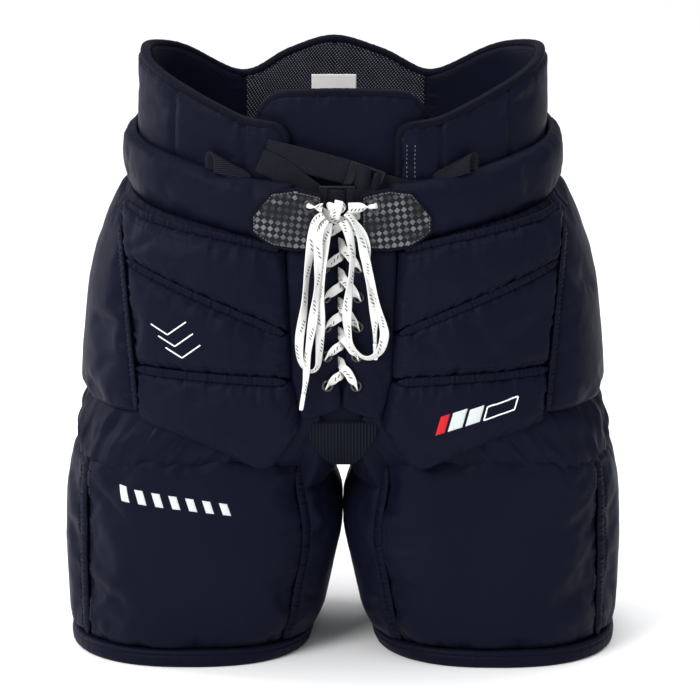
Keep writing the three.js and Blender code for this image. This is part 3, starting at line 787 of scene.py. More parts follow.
    def refine(self):
        """Subdivides the cover once, then presses in its seam gathers and its quilting grooves."""
        finer = self.piece.modifiers.new("finer", "SUBSURF")
        finer.levels = 1
        finer.render_levels = 1
        depsgraph = bpy.context.evaluated_depsgraph_get()
        mesh = bpy.data.meshes.new_from_object(self.piece.evaluated_get(depsgraph))
        self.piece.modifiers.clear()
        self.piece.data = mesh
        count = len(mesh.vertices)
        near, far = np.empty(count * 3), np.empty(count * 3)
        mesh.attributes["near_edges"].data.foreach_get("vector", near)
        mesh.attributes["far_edges"].data.foreach_get("vector", far)
        near, far = near.reshape(-1, 3), far.reshape(-1, 3)
        outer = smooth_step(0.5, 1.0, near[:, 2])
        push = np.zeros(count)
        edges = [(near[:, 0], near[:, 1]), (far[:, 0], near[:, 1]), (near[:, 1], near[:, 0]),
                 (far[:, 1], near[:, 0])]
        for number, (distance, place) in enumerate(edges):
            reach = np.exp(-distance / 11) * np.clip(distance / 2, 0, 1)
            push += self.gather * reach * waves(place, 9.5, self.seed * 7 + number)
        push *= outer
        for groove_angle, depth in self.grooves:
            away = np.abs(far[:, 2] - groove_angle) * math.radians(1) * self.ring(0)[1]
            push -= depth * np.exp(-(away / 3.2) ** 2)
            beside = np.exp(-((away - 8) / 6) ** 2)
            push += 0.5 * beside * waves(near[:, 1], 11, self.seed + int(groove_angle))
        normals = np.empty(count * 3)
        mesh.vertices.foreach_get("normal", normals)
        places = np.empty(count * 3)
        mesh.vertices.foreach_get("co", places)
        places = places.reshape(-1, 3) + normals.reshape(-1, 3) * (push * MM)[:, None]
        mesh.vertices.foreach_set("co", places.ravel())
        mesh.update()

    def surface(self):
        """A function that finds the cover's skin at angles and heights, on its outside or inside."""
        mesh = self.piece.data
        tree = BVHTree.FromPolygons([vertex.co for vertex in mesh.vertices],
                                    [polygon.vertices for polygon in mesh.polygons])

        def find(angles, heights, lift=0.0, inside=False):
            angles, heights = np.broadcast_arrays(np.asarray(angles, float), np.asarray(heights, float))
            middles = mirrored(ring_point(self.ring, angles, self.outset, heights), self.side)
            aims = mirrored(ring_normal(self.ring, angles, heights), self.side)
            aims = aims if inside else -aims
            found, facing = [], []
            for middle, aim in zip(middles.reshape(-1, 3), aims.reshape(-1, 3)):
                hit, normal, _, _ = tree.ray_cast(Vector((middle - aim * 45) * MM), Vector(aim), 0.09)
                if not hit:
                    hit, normal, _, _ = tree.find_nearest(Vector(middle * MM))
                facing.append(np.array(normal))
                found.append(np.array(hit) / MM - aim * lift)
            return np.array(found), np.array(facing)

        return find


def simulate(pads, frames=18):
    """Runs every cover's cloth at once, then keeps the result."""
    for pad in pads:
        pad.hang_cloth()
    for number in range(1, frames + 1):
        bpy.context.scene.frame_set(number)
    for pad in pads:
        pad.settle()
    bpy.context.scene.frame_set(1)


# ---------------------------------------------------------------- camera, light and floor

CAMERA_TARGET = Vector((0.007, 0.0, 0.292))
CAMERA_DISTANCE = 5.44
CAMERA_AZIMUTH = math.radians(0.4)
CAMERA_ELEVATION = math.radians(15)


def add_camera():
    camera_data = bpy.data.cameras.new("camera")
    camera_data.lens = 280
    camera_data.sensor_width = 36
    camera = bpy.data.objects.new("camera", camera_data)
    bpy.context.collection.objects.link(camera)
    away = Vector((
        math.sin(CAMERA_AZIMUTH) * math.cos(CAMERA_ELEVATION),
        -math.cos(CAMERA_AZIMUTH) * math.cos(CAMERA_ELEVATION),
        math.sin(CAMERA_ELEVATION),
    ))
    camera.location = CAMERA_TARGET + away * CAMERA_DISTANCE
    camera.rotation_euler = (-away).to_track_quat("-Z", "Y").to_euler()
    bpy.context.scene.camera = camera


def add_area_light(name, place, target, size, power, tint=(1, 1, 1)):
    data = bpy.data.lights.new(name, "AREA")
    data.shape = "RECTANGLE"
    data.size, data.size_y = size
    data.energy = power
    data.color = tint
    light = bpy.data.objects.new(name, data)
    bpy.context.collection.objects.link(light)
    light.location = place
    light.rotation_euler = (Vector(target) - Vector(place)).to_track_quat("-Z", "Y").to_euler()


def add_studio():
    scene = bpy.context.scene
    scene.view_settings.view_transform = "Standard"
    world = bpy.data.worlds.new("studio")
    world.use_nodes = True
    world.node_tree.nodes["Background"].inputs["Color"].default_value = colour(0.95, 0.97, 1.0)
    world.node_tree.nodes["Background"].inputs["Strength"].default_value = 0.42
    sun = bpy.data.lights.new("overhead", "SUN")
    sun.energy = 1.7
    sun.angle = math.radians(70)
    overhead = bpy.data.objects.new("overhead", sun)
    overhead.location = (0, 0, 3)
    bpy.context.collection.objects.link(overhead)
    scene.world = world
    aim = (0, 0, 0.3)
    add_area_light("key", (-1.6, -2.2, 2.0), aim, (1.4, 1.4), 76)
    add_area_light("fill", (2.4, -1.8, 1.2), aim, (1.6, 1.6), 12, (0.93, 0.96, 1))
    add_area_light("top", (0.2, 0.5, 2.6), aim, (1.8, 1.2), 26)
    add_area_light("rim", (-2.3, 0.7, 1.1), aim, (0.8, 1.8), 36, (0.97, 0.93, 1))
    nodes = Nodes("pale_floor")
    pale = nodes.blend(nodes.noise(3.0), colour(0.9, 0.9, 0.9), colour(0.93, 0.93, 0.93))
    material = nodes.finish(base_color=pale, roughness=0.9)
    half = 14.0
    corners = [(-half, -half, -0.0005), (half, -half, -0.0005), (half, half, -0.0005), (-half, half, -0.0005)]
    mesh = bpy.data.meshes.new("floor")
    mesh.from_pydata(corners, [], [(0, 1, 2, 3)])
    mesh.materials.append(material)
    floor = bpy.data.objects.new("floor", mesh)
    bpy.context.collection.objects.link(floor)


# ---------------------------------------------------------------- lace


def body_front(x, layer, z):
    """A place on the laced fly, at a depth that is measured from the body's front."""
    return [x, -(float(BODY_HALF_DEPTH(z)) + layer), z]


LACE_FRONT = FLY_OUTSET + 2.2 + CLEARANCE + LACE_RADIUS
LACE_BEHIND = FLY_OUTSET - FLY_THICKNESS - CLEARANCE - LACE_RADIUS - 0.8
LACE_MIDWAY = FLY_OUTSET - FLY_THICKNESS / 2
TAB_FRONT_Y = -(BELT_SIZE[2] + 3.8 + CLEARANCE + LACE_RADIUS)
KNOT = {"x": -6, "y": -145.6, "z": 471, "half_width": 10, "half_depth": 4.2, "half_height": 9}

# The bow's routes start at the knot. Left and right are the wearer's.
LOOP_LEFT = [
    (4, -147.5, 468.3), (10, -149, 463), (15, -149.4, 454.1), (19, -149.4, 442.5),
    (21.5, -149.4, 429.2), (25, -149.4, 414.9), (29, -149.4, 400.7), (32.5, -149.4, 386.4),
    (35.5, -149.4, 374), (40, -149.4, 357.1), (41.5, -149.4, 347.3), (39, -149.4, 334.8),
    (35, -149.4, 328.6), (28, -149.4, 324.1), (20, -149.4, 325), (13, -149.4, 331.3),
    (8.5, -149.4, 338.4), (6, -149.4, 350.9), (5, -149.4, 365.1), (6, -149.4, 381.1),
    (8, -149.4, 397.1), (9.5, -149.4, 411.4), (10.5, -149.4, 425.6), (9, -149.4, 438.1),
    (6, -149.4, 450.5), (1, -149, 460.3),
]
LOOP_RIGHT = [
    (-17.5, -148, 466.3), (-22.4, -149.4, 463.5), (-26.2, -149.4, 457), (-28.9, -149.4, 443.9),
    (-31, -149.4, 427), (-33.5, -149.4, 408.3), (-35, -149.4, 391.4), (-36.5, -149.4, 374.6),
    (-39, -149.4, 357.7), (-41, -149.4, 342.8), (-41, -149.4, 327.8), (-38.5, -149.4, 317.5),
    (-33, -149.4, 311.4), (-27.2, -149.4, 310.9), (-23.1, -149.4, 316.6), (-21.9, -149.4, 327.8),
    (-21.2, -149.4, 342.8), (-20.3, -149.4, 363.4), (-20, -149.4, 385.8), (-18.5, -149.4, 408.3),
    (-17, -149.4, 428.9), (-15, -149.4, 445.7), (-12.5, -149, 458.8),
]
TAIL_RIGHT = [
    (-15, -150.5, 462.5), (-21, -153, 450), (-22.5, -153.5, 436), (-22.5, -153.5, 420),
    (-23, -153.5, 402), (-25, -153.5, 384), (-27.5, -153.5, 366), (-30, -153.5, 349),
    (-32.5, -153.5, 332), (-34, -153.5, 316), (-35, -153.5, 302), (-37, -153, 289),
]
TAIL_LEFT = [
    (6.5, -145.4, 461.5), (13, -144.9, 458), (20, -144.9, 448), (23.5, -144.9, 434), (23.5, -144.9, 418),
    (26, -144.9, 402), (29, -144.9, 385), (31.5, -144.9, 368), (32, -144.9, 352), (32.5, -144.9, 338),
]
AGLET_LENGTH = 17


def steady_normals(path, reference):
    """Normals that stay close to a reference direction and turn smoothly where the path runs along it."""
    tangent = unit(np.gradient(path, axis=0))
    reference = np.asarray(reference, float)
    normal = reference
    normals = []
    for ahead in tangent:
        wanted = reference - ahead * np.dot(reference, ahead)
        normal = normal - ahead * np.dot(normal, ahead) + 0.3 * wanted
        normal = normal / max(np.linalg.norm(normal), 1e-6)
        normals.append(normal)
    return np.array(normals), tangent


def ribbon(name, route, slot="lace", twist=None, waist=None, width=LACE_WIDTH, material=None, step=1.5,
           body="pants", spline_steps=10):
    """A flat lace along a route. twist gives degrees, and waist a width factor, at each length."""
    path = evenly(curve_through(route, spline_steps), step)
    place = lengths_along(path)
    normals, tangent = steady_normals(path, (0, -1, 0))
    turn = np.radians(twist(place) if twist else np.zeros(len(place)))[:, None]
    normals = normals * np.cos(turn) + np.cross(tangent, normals) * np.sin(turn)
    narrow = waist(place) if waist else np.ones(len(place))
    turns = np.linspace(0, 2 * math.pi, 14, endpoint=False)
    rounded = lambda value: np.sign(value) * np.abs(value) ** 0.6
    profile = np.stack([
        rounded(np.cos(turns)) * LACE_THICKNESS / 2, rounded(np.sin(turns)) * width / 2], axis=1)
    scale = np.stack([1 / np.sqrt(narrow), narrow], axis=1)
    points, faces = sweep(path, normals, profile, scale)
    corners = len(profile)
    weave = np.stack([
        np.repeat(place, corners), np.tile(profile[:, 1], len(place)), np.zeros(len(points))], axis=1) * MM
    return make_piece(
        name, points, outward(points, faces), [material or LACE], slot, body, {"weave": weave})


def loop_twist(amount, length, start=0.0):
    return lambda place: amount * np.sin(2 * math.pi * (place + start) / length)


def lace_strand_route(side):
    """One end of the lace: out of each eyelet, in at the middle, and behind to the other side."""
    points = [body_front(5.5 * side, LACE_BEHIND, EYELET_FIRST_Z - 3)]
    sign = side
    for level in range(EYELET_LEVELS):
        z = EYELET_FIRST_Z + EYELET_STEP_Z * level
        x = eyelet_x(level)
        points.append(body_front(sign * (x - 1), LACE_BEHIND, z - 0.5))
        points.append(body_front(sign * x, LACE_MIDWAY, z))
        points.append(body_front(sign * (x - 1), LACE_FRONT, z + 1))
        rise = 1 if sign > 0 else 0.6
        points.append(body_front(sign * 6, LACE_FRONT, z + 14 * rise))
        if level == EYELET_LEVELS - 1:
            break
        points.append(body_front(sign * 1.7, LACE_FRONT - 1, z + 18 * rise))
        points.append(body_front(0, LACE_MIDWAY, z + 20 * rise))
        points.append(body_front(-sign * 1.7, LACE_BEHIND + 0.5, z + 22 * rise))
        points.append(body_front(-sign * 8, LACE_BEHIND, z + 25 * rise))
        sign = -sign
    tab_x = -sign * TAB_EYELET_X
    points.append([-sign * 10, -(BELT_SIZE[2] - 3), 461])
    points.append([tab_x, -(BELT_SIZE[2] - 2.4), TAB_EYELET_Z])
    points.append([tab_x, TAB_FRONT_Y, TAB_EYELET_Z + 0.5])
    points.append([6.5 if tab_x > 0 else -18.5, TAB_FRONT_Y, 473])
    return points


def add_laced_part():
    """The crossed lace, bunched where it goes through a hole and flat across the fly."""
    holes = [EYELET_FIRST_Z + EYELET_STEP_Z * level for level in range(EYELET_LEVELS)] + [TAB_EYELET_Z]
    first = None
    for side in (LEFT, RIGHT):
        route = lace_strand_route(side)
        path = evenly(curve_through(route, 8), 1.2)
        place = lengths_along(path)
        depth = -path[:, 1] - BODY_HALF_DEPTH(path[:, 2]) - LACE_MIDWAY
        in_hole = np.exp(-(depth / 3.0) ** 2)
        in_hole *= smooth_step(6, 10, np.abs(path[:, 0]))
        narrow = 1 - 0.42 * in_hole
        on_tab = path[:, 2] > 462
        narrow[on_tab] = 1.12 - 0.6 * np.exp(-((np.abs(path[on_tab, 0]) - TAB_EYELET_X) / 6) ** 2)
        piece = ribbon(
            "laced_part_" + SIDE_NAME[side], route, waist=lambda at: np.interp(at, place, narrow),
            twist=loop_twist(7, 83, 20 * side), step=1.2, spline_steps=8)
        first = first or piece
    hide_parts("fly_lace")
    return holes


def add_knot():
    """The bow's knot: a lace wound twice through itself, pulled tight."""
    turn = np.linspace(0, 2 * math.pi, 60)
    size = KNOT["half_width"] * 0.62, KNOT["half_depth"] * 0.5, KNOT["half_height"] * 0.62
    route = np.stack([
        KNOT["x"] + size[0] * (np.sin(turn) + 1.1 * np.sin(2 * turn)) / 1.7,
        KNOT["y"] - size[1] * np.sin(3 * turn + 0.5),
        KNOT["z"] + size[2] * (np.cos(turn) - 1.1 * np.cos(2 * turn)) / 1.7,
    ], axis=1)
    wound = ribbon("knot_wound_lace", route, width=7.5, twist=loop_twist(14, 21), step=1.0)
    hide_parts("lace_knot")
    band = np.linspace(-0.62, 0.62, 12) * math.pi
    over = np.stack([
        KNOT["x"] + 1.5 + 2.0 * np.sin(band),
        KNOT["y"] - KNOT["half_depth"] * 1.05 * np.cos(band),
        KNOT["z"] + KNOT["half_height"] * 0.95 * np.sin(band),
    ], axis=1)
    ribbon("knot_middle_band", over, width=8.5, step=1.0)


def add_aglet(side, tail, reach):
    """The stiff tip of a lace end, crimped on over the braid."""
    end = np.array(tail[-1], float)
    heading = unit(end - np.array(tail[-2], float))
    profile = [(0.0, 0.9), (0.35, 1.9), (1.2, 2.2), (3.0, 2.25), (3.6, 2.05), (4.4, 2.2),
               (AGLET_LENGTH - 2.0, 2.1), (AGLET_LENGTH - 0.5, 1.75), (AGLET_LENGTH, 0.9)]
    path = np.array([end + heading * (CLEARANCE + along_it) for along_it, _ in profile])
    normals = np.tile([0.0, -1.0, 0.0], (len(path), 1))
    turns = np.linspace(0, 2 * math.pi, 20, endpoint=False)
    circle = np.stack([np.cos(turns), np.sin(turns) * reach], axis=1)
    scale = np.array([[radius, radius] for _, radius in profile])
    points, faces = sweep(path, normals, circle, scale)
    tip = make_piece("aglet_tip_" + SIDE_NAME[side], points, outward(points, faces), [TIP], "lace_tip", "pants")
    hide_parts("aglet_" + SIDE_NAME[side])
    return tip


def lace_length(route):
    return float(lengths_along(curve_through(route, 10))[-1]) * MM


def add_bow():
    """Two loops and two tails, flat lace that turns a little as it hangs."""
    twists = {LEFT: loop_twist(58, 168, 120), RIGHT: loop_twist(56, 182, 60)}
    for side, route in ((LEFT, LOOP_LEFT), (RIGHT, LOOP_RIGHT)):
        loop = ribbon("bow_loop_" + SIDE_NAME[side], route, twist=twists[side])
        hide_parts("lace_loop_" + SIDE_NAME[side])
    for side, route in ((LEFT, TAIL_LEFT), (RIGHT, TAIL_RIGHT)):
        length = lace_length(route) / MM
        gathered = lambda place, full=length: 1 - 0.5 * smooth_step(full - 34, full - 3, place)
        tail = ribbon("bow_tail_" + SIDE_NAME[side], route, twist=loop_twist(50, 132, 30), waist=gathered)
        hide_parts("lace_tail_" + SIDE_NAME[side])
        add_aglet(side, route, 1.0)


# ---------------------------------------------------------------- eyelets, tabs, buckles and webbing


def grommet(centre, hole, outer, height, depth):
    """A rolled eyelet around an axis along Y, with its barrel going in."""
    lip = []
    for step in range(9):
        turn = math.pi * step / 8
        middle, half = (hole + outer) / 2, (outer - hole) / 2
        lip.append((middle - half * math.cos(turn), height * math.sin(turn) ** 0.8))
    profile = [(hole, -depth), (hole - 0.25, -depth * 0.4)] + lip + [(hole + 0.9, -0.3), (hole + 0.8, -depth)]
    turns = np.linspace(0, 2 * math.pi, 32, endpoint=False)
    points = np.array([
        (centre[0] + radius * math.cos(turn), centre[1] - out, centre[2] + radius * math.sin(turn))
        for turn in turns for radius, out in profile])
    corners = len(profile)
    faces = []
    for i in range(len(turns)):
        near, far = i * corners, ((i + 1) % len(turns)) * corners
        for j in range(corners):
            k = (j + 1) % corners
            faces.append([near + j, near + k, far + k, far + j])
    return points, faces


def carry_points(old, new):
    """Copies each named vector from the nearest point of the old mesh, which a boolean drops."""
    tree = KDTree(len(old.vertices))
    for index, vertex in enumerate(old.vertices):
        tree.insert(vertex.co, index)
    tree.balance()
    source = [tree.find(vertex.co)[1] for vertex in new.vertices]
    for layer in old.attributes:
        if layer.data_type == "FLOAT_VECTOR" and layer.name != "position":
            values = np.empty(len(old.vertices) * 3)
            layer.data.foreach_get("vector", values)
            new.attributes[layer.name].data.foreach_set("vector", values.reshape(-1, 3)[source].ravel())


def drill(piece, places, radius):
    """Cuts round holes along Y through a piece."""
    turns = np.linspace(0, 2 * math.pi, 28, endpoint=False)
    solids = []
    for x, y, z in places:
        circle = np.stack([x + radius * np.cos(turns), np.full(28, y), z + radius * np.sin(turns)], axis=1)
        points = np.vstack([circle - (0, 14, 0), circle + (0, 14, 0)])
        faces = [[i, (i + 1) % 28, 28 + (i + 1) % 28, 28 + i] for i in range(28)]
        faces += [list(range(28))[::-1], list(range(28, 56))]
        solids.append((points, faces))
    points, faces = joined(solids)
    mesh = bpy.data.meshes.new("drill")
    mesh.from_pydata((points * MM).tolist(), [], faces)
    cutter = bpy.data.objects.new("drill", mesh)
    bpy.context.collection.objects.link(cutter)
    cut = piece.modifiers.new("cut", "BOOLEAN")
    cut.operation = "DIFFERENCE"
    cut.solver = "EXACT"
    cut.object = cutter
    depsgraph = bpy.context.evaluated_depsgraph_get()
    piece_mesh = bpy.data.meshes.new_from_object(piece.evaluated_get(depsgraph))
    piece.modifiers.clear()
    carry_points(piece.data, piece_mesh)
    piece.data = piece_mesh
    bpy.data.objects.remove(cutter)


def thin_plate(name, ring, place, outset, thickness, side, material, slot, body, step=1.6, lift=None):
    """A thin curved plate with a fine grid, whose weave coordinates follow its surface."""
    wide, tall = panel_size(ring, place, outset)
    columns = max(4, int(wide / step) + 1)
    rows = max(3, int(tall / step) + 1)
    u, v = np.meshgrid(np.linspace(0, 1, columns), np.linspace(0, 1, rows), indexing="ij")
    angle, z = place(u, v)
    raised = lift(u, v) if lift else 0.0
    outer = ring_point(ring, angle, outset + raised, z).reshape(-1, 3)
    inner = ring_point(ring, angle, outset - thickness, z).reshape(-1, 3)
    points = mirrored(np.vstack([outer, inner]), side)
    flip = side == RIGHT
    count = columns * rows
    faces = quad_grid(columns, rows, flip=flip) + quad_grid(columns, rows, start=count, flip=not flip)
    faces += Pad.rim(columns, rows, count, flip)
    flat = np.stack([u * wide, z, np.zeros_like(u)], axis=-1).reshape(-1, 3)
    return make_piece(name, points, faces, [material], slot, body, {"weave": np.vstack([flat, flat]) * MM})


def edge_cord(name, outline, normals, radius, material, slot, body, closed=True, ripple=0.0, seed=1,
              flat=1.0, step=1.2):
    """A thin cord or rolled edge that follows an outline on a surface."""
    path = evenly(np.vstack([outline, outline[:1]]) if closed else outline, step)
    if closed:
        path = path[:-1]
    place = lengths_along(path)
    old = lengths_along(np.vstack([outline, outline[:1]]) if closed else outline)
    source = np.vstack([normals, normals[:1]]) if closed else normals
    facing = np.stack([np.interp(place, old, source[:, axis]) for axis in range(3)], axis=1)
    turns = np.linspace(0, 2 * math.pi, 10, endpoint=False)
    circle = np.stack([np.cos(turns) * radius * flat, np.sin(turns) * radius], axis=1)
    swell = 1 + ripple * waves(place, 3.4, seed)
    points, faces = sweep(path, facing, circle, np.stack([swell, swell], axis=1), closed)
    count = len(circle)
    weave = np.stack([np.repeat(place, count), np.tile(turns * radius, len(place)),
                      np.zeros(len(points))], axis=1) * MM
    return make_piece(name, points, outward(points, faces), [material], slot, body, {"weave": weave})


def add_tabs():
    """The checked tabs: a glossy woven board with a bound edge, a stitch line and a black eyelet."""
    def place(u, v):
        x = mix(19, 86, u)
        return front_angle(belt_ring, x), mix(TAB_BOTTOM(x), TAB_TOP(x), v)

    outset = CLEARANCE + TAB_THICKNESS
    around = np.linspace(0, 1, 40)
    zero, one = np.zeros(40), np.ones(40)
    loop_u = np.concatenate([around, one, around[::-1], zero])
    loop_v = np.concatenate([zero, around, one, around[::-1]])
    for side in (LEFT, RIGHT):
        name = SIDE_NAME[side]
        tab = thin_plate("checked_tab_" + name, belt_ring, place, outset, TAB_THICKNESS, side, BOARD, "tab", "pants")
        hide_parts("belt_tab_" + name)
        drill(tab, [(side * TAB_EYELET_X, -BELT_SIZE[2], TAB_EYELET_Z)], 3.7)
        for label, inset, radius, material in (("edge", 0.0, 1.5, BINDING), ("stitching", 0.07, 0.4, PALE_THREAD)):
            u = mix(loop_u, 0.5, inset)
            v = mix(loop_v, 0.5, inset * 1.3)
            angle, z = place(u, v)
            outline = mirrored(ring_point(belt_ring, angle, outset - 0.4, z), side)
            keep = np.concatenate([[True], np.linalg.norm(np.diff(outline, axis=0), axis=1) > 0.05])
            outline = outline[keep]
            normals = mirrored(ring_normal(belt_ring, angle, z), side)[keep]
            if label == "edge":
                edge_cord("tab_edge_" + name, outline, normals, radius, material, "tab", "pants",
                          ripple=0.12, seed=3 + side)
            else:
                stitch_line("tab_stitching_" + name, outline, normals, "tab", "pants", material,
                            spacing=3.2, length=1.9, radius=0.3, lift=0.5)
        ring = grommet((side * TAB_EYELET_X, -(BELT_SIZE[2] + outset), TAB_EYELET_Z), 3.3, 6.6, 1.5, 7)
        piece = make_piece("tab_grommet_" + name, *(ring[0], outward(*ring)), [ENAMEL], "eyelet", "pants")
        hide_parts("tab_eyelet_" + name)


def rounded_box(centre, size, radius):
    """A box with rounded edges, as a swept rounded rectangle with its two ends drawn in."""
    half = size[2] / 2
    stations = [(-half, 0.0), (-half + radius * 0.3, 0.7), (-half + radius, 1.0),
                (half - radius, 1.0), (half - radius * 0.3, 0.7), (half, 0.0)]
    profile = rounded_profile(size[0], size[1], radius)
    inner = rounded_profile(size[0] - 2 * radius * 0.98, size[1] - 2 * radius * 0.98, radius * 0.01)
    points = []
    for z, full in stations:
        ring = inner * (1 - full) + profile * full
        points.append(np.stack([ring[:, 0], ring[:, 1], np.full(len(ring), z)], axis=1))
    corners = len(profile)
    faces = []
    for i in range(len(stations) - 1):
        for j in range(corners):
            k = (j + 1) % corners
            faces.append([i * corners + j, i * corners + k, (i + 1) * corners + k, (i + 1) * corners + j])
    faces.append(list(range(corners))[::-1])
    faces.append(list(range((len(stations) - 1) * corners, len(stations) * corners)))
    return np.vstack(points) + np.asarray(centre, float), faces


BUCKLE_WIDTH, BUCKLE_HEIGHT, BUCKLE_THICKNESS = 35, 32, 3


def add_buckle(node, body, centre, tilt_degrees):
    """A ladder-lock: two rails, two end bars, a toothed middle bar and a turned-up thumb lip."""
    rail_z = BUCKLE_HEIGHT / 2 - 1.25
    bars = [
        rounded_box((0, 0, 0), (BUCKLE_WIDTH, 3.4, 2.6), 0.9),
        rounded_box((0, 0, 0), (BUCKLE_WIDTH, 3.4, 2.6), 0.9),
        rounded_box((-13.4, 0, 0), (8.2, 2.8, 29), 0.9),
        rounded_box((13.4, 0, 0), (8.2, 2.8, 29), 0.9),
        rounded_box((0, 0.4, 0), (8.6, 2.0, 29), 0.8),
        rounded_box((-16.6, -0.9, 0), (1.8, 2.4, 31), 0.7),
        rounded_box((16.6, -0.9, 0), (1.8, 2.4, 31), 0.7),
    ]
    bars[0] = (bars[0][0] + (0, 0, rail_z), bars[0][1])
    bars[1] = (bars[1][0] - (0, 0, rail_z), bars[1][1])
    for x in (-15.0, -13.2, -11.4, 11.4, 13.2, 15.0):
        bars.append(rounded_box((x, -1.5, 0), (0.8, 0.8, 25), 0.25))
    points, faces = joined(bars)
    turn = math.radians(tilt_degrees)
    x = points[:, 0] * math.cos(turn) + points[:, 2] * math.sin(turn)
    z = -points[:, 0] * math.sin(turn) + points[:, 2] * math.cos(turn)
    placed = np.stack([x, points[:, 1], z], axis=1) + np.asarray(centre)
    piece = make_piece(node + "_ladder_lock", placed, faces, [PLASTIC], "buckle", body)
    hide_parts(node)


def webbing(name, route, node=None, width=STRAP_WIDTH, across=(0, 0, 1), thickness=STRAP_THICKNESS,
            body="pants", spline_steps=10):
    """Woven webbing along a route, with slanting ribs in its face and edges that thin out."""
    path = evenly(curve_through(route, spline_steps), 0.55)
    place = lengths_along(path)
    tangent = unit(np.gradient(path, axis=0))
    normals = unit(np.cross(tangent, np.tile(np.asarray(across, float), (len(path), 1))))
    columns = 22
    edge = np.linspace(-1, 1, columns)
    half = thickness / 2 * (1 - 0.55 * np.abs(edge) ** 10)
    profile = np.concatenate([
        np.stack([half, edge * width / 2], axis=1),
        np.stack([-half[::-1], edge[::-1] * width / 2], axis=1)])
    points, faces = sweep(path, normals, profile)
    grid = points.reshape(len(path), len(profile), 3)
    slant = place[:, None] + 0.45 * profile[None, :, 1]
    rib = 0.22 * np.sin(2 * math.pi * slant / 2.2) * np.sign(profile[None, :, 0])
    grid += rib[..., None] * normals[:, None]
    count = len(profile)
    weave = np.stack([np.repeat(place, count), np.tile(profile[:, 1], len(path)),
                      np.zeros(len(points))], axis=1) * MM
    piece = make_piece(name, grid.reshape(-1, 3), outward(points, faces), [WEBBING], "webbing", body,
                       {"weave": weave})
    if node:
        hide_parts(node)
    return piece


def add_straps():
    """The two adjusting straps: each threads its ladder-lock and is sewn on the wings."""
    def on_wrap(x, lift):
        return -(float(front_depth(wrap_ring, x)) + lift)

    def route(lift, places):
        return [(x, on_wrap(x, lift), z) for x, z in places]

    webbing("wrap_strap_webbing", route(1.4, [(-74, 523), (-54, 518.5), (-26, 511.5), (2, 504)])
            + [(10, -124.2, 501), (15.5, -127.9, 499), (20.8, -129.0, 497), (26, -127.6, 495.5),
               (30.5, -123.8, 494), (35, -123.2, 492.4)], "wrap_strap")
    webbing("wrap_anchor_webbing", [(28.5, -127.5, 491.8), (33, -128.8, 490.5), (38.5, -126.4, 489.2)]
            + route(1.6, [(46, 487), (56, 484), (76, 481)]), "wrap_strap_anchor")
    strap = webbing(
        "waist_strap_webbing", route(3.1, [(-80, 514), (-62, 506), (-42, 491)])
        + [(-26, -125.9, 480), (-16, -128.2, 476), (-10, -131.6, 475.2), (-4.5, -132.9, 475),
           (1, -131.6, 475), (6, -128.2, 475), (11, -127.2, 475)], "waist_strap", body=None)
    anchor = webbing(
        "waist_anchor_webbing", [(4.5, -131.8, 475), (9, -133.0, 475), (15, -131.0, 475),
                                 (25, -129.2, 474), (36.5, -128.6, 473), (45, -124.8, 474)]
        + route(3.3, [(60, 476), (74, 477)]), "waist_strap_anchor", body=None)
    for piece, far, near in ((strap, -0.045, -0.018), (anchor, 0.045, 0.017)):
        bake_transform(piece, "pants", "waist_buckle", start=(far, -0.127, 0.475), end=(near, -0.127, 0.475))
    add_buckle("wrap_buckle", "pants", (20.8, -125.9, 494.3), 19)
    add_buckle("waist_buckle", "waist_buckle", (-4.5, -129.8, 475), 0)


def add_suspender_loops():
    """Arches of webbing behind the belt's top edge, flatter towards the front, their ends sewn askew."""
    x, width, depth, height, slope = 110, 36, 9, 14, 0.3
    base_z = float(BELT_TOP(front_angle(belt_ring, x))) + 1
    middle_y = -(float(front_depth(belt_ring, x)) - BELT_THICKNESS / 2 - 5)
    arch = [(-depth / 2, -4), (-depth / 2, 0), (-depth / 2, height * 0.6), (-depth / 4, height * 0.93),
            (0, height), (depth / 4, height * 0.93), (depth / 2, height * 0.6), (depth / 2, 0), (depth / 2, -4)]
    for side in (LEFT, RIGHT):
        route = [(side * x, middle_y + y, base_z + z) for y, z in arch]
        name = "suspender_loop_" + SIDE_NAME[side]
        band = webbing(name + "_band", route, name, width, (1, 0, 0), 1.7, SIDE_NAME[side] + "_suspender_loop")
        points = np.empty(len(band.data.vertices) * 3)
        band.data.vertices.foreach_get("co", points)
        points = points.reshape(-1, 3) / MM
        outwards = side * points[:, 0] - x
        rise = points[:, 2] - base_z
        rise *= np.where(rise > 0, 0.78 + 0.32 * outwards / (width / 2), 1)
        points[:, 2] = base_z + rise + slope * outwards
        points[:, 0] += side * 0.9 * (points[:, 1] - middle_y)
        band.data.vertices.foreach_set("co", (points * MM).ravel())
        band.data.update()


# ---------------------------------------------------------------- bindings, seams and stitches


def stitch_line(name, path, normals, slot, body, material=None, spacing=4.0, length=2.7, radius=0.36, lift=0.15):
    """A row of thread stitches along a path on a surface."""
    path = np.asarray(path, float)
    place = lengths_along(path)
    starts = np.arange(spacing * 0.3, place[-1] - length, spacing)
    turns = np.linspace(0, 2 * math.pi, 6, endpoint=False)
    circle = np.stack([np.cos(turns), np.sin(turns)], axis=1) * radius
    shares = np.array([0.0, 0.22, 0.5, 0.78, 1.0])
    heights = np.array([-0.5, 0.15, 0.3, 0.15, -0.5])
    thick = np.array([0.55, 1.0, 1.0, 1.0, 0.55])
    solids = []
    for start in starts:
        at = start + shares * length
        points = np.stack([np.interp(at, place, path[:, axis]) for axis in range(3)], axis=1)
        facing = np.stack([np.interp(at, place, normals[:, axis]) for axis in range(3)], axis=1)
        points += unit(facing) * (heights + lift)[:, None]
        solids.append(sweep(points, facing, circle, np.stack([thick, thick], axis=1)))
    points, faces = joined(solids)
    return make_piece(name, points, faces, [material or THREAD], slot, body)


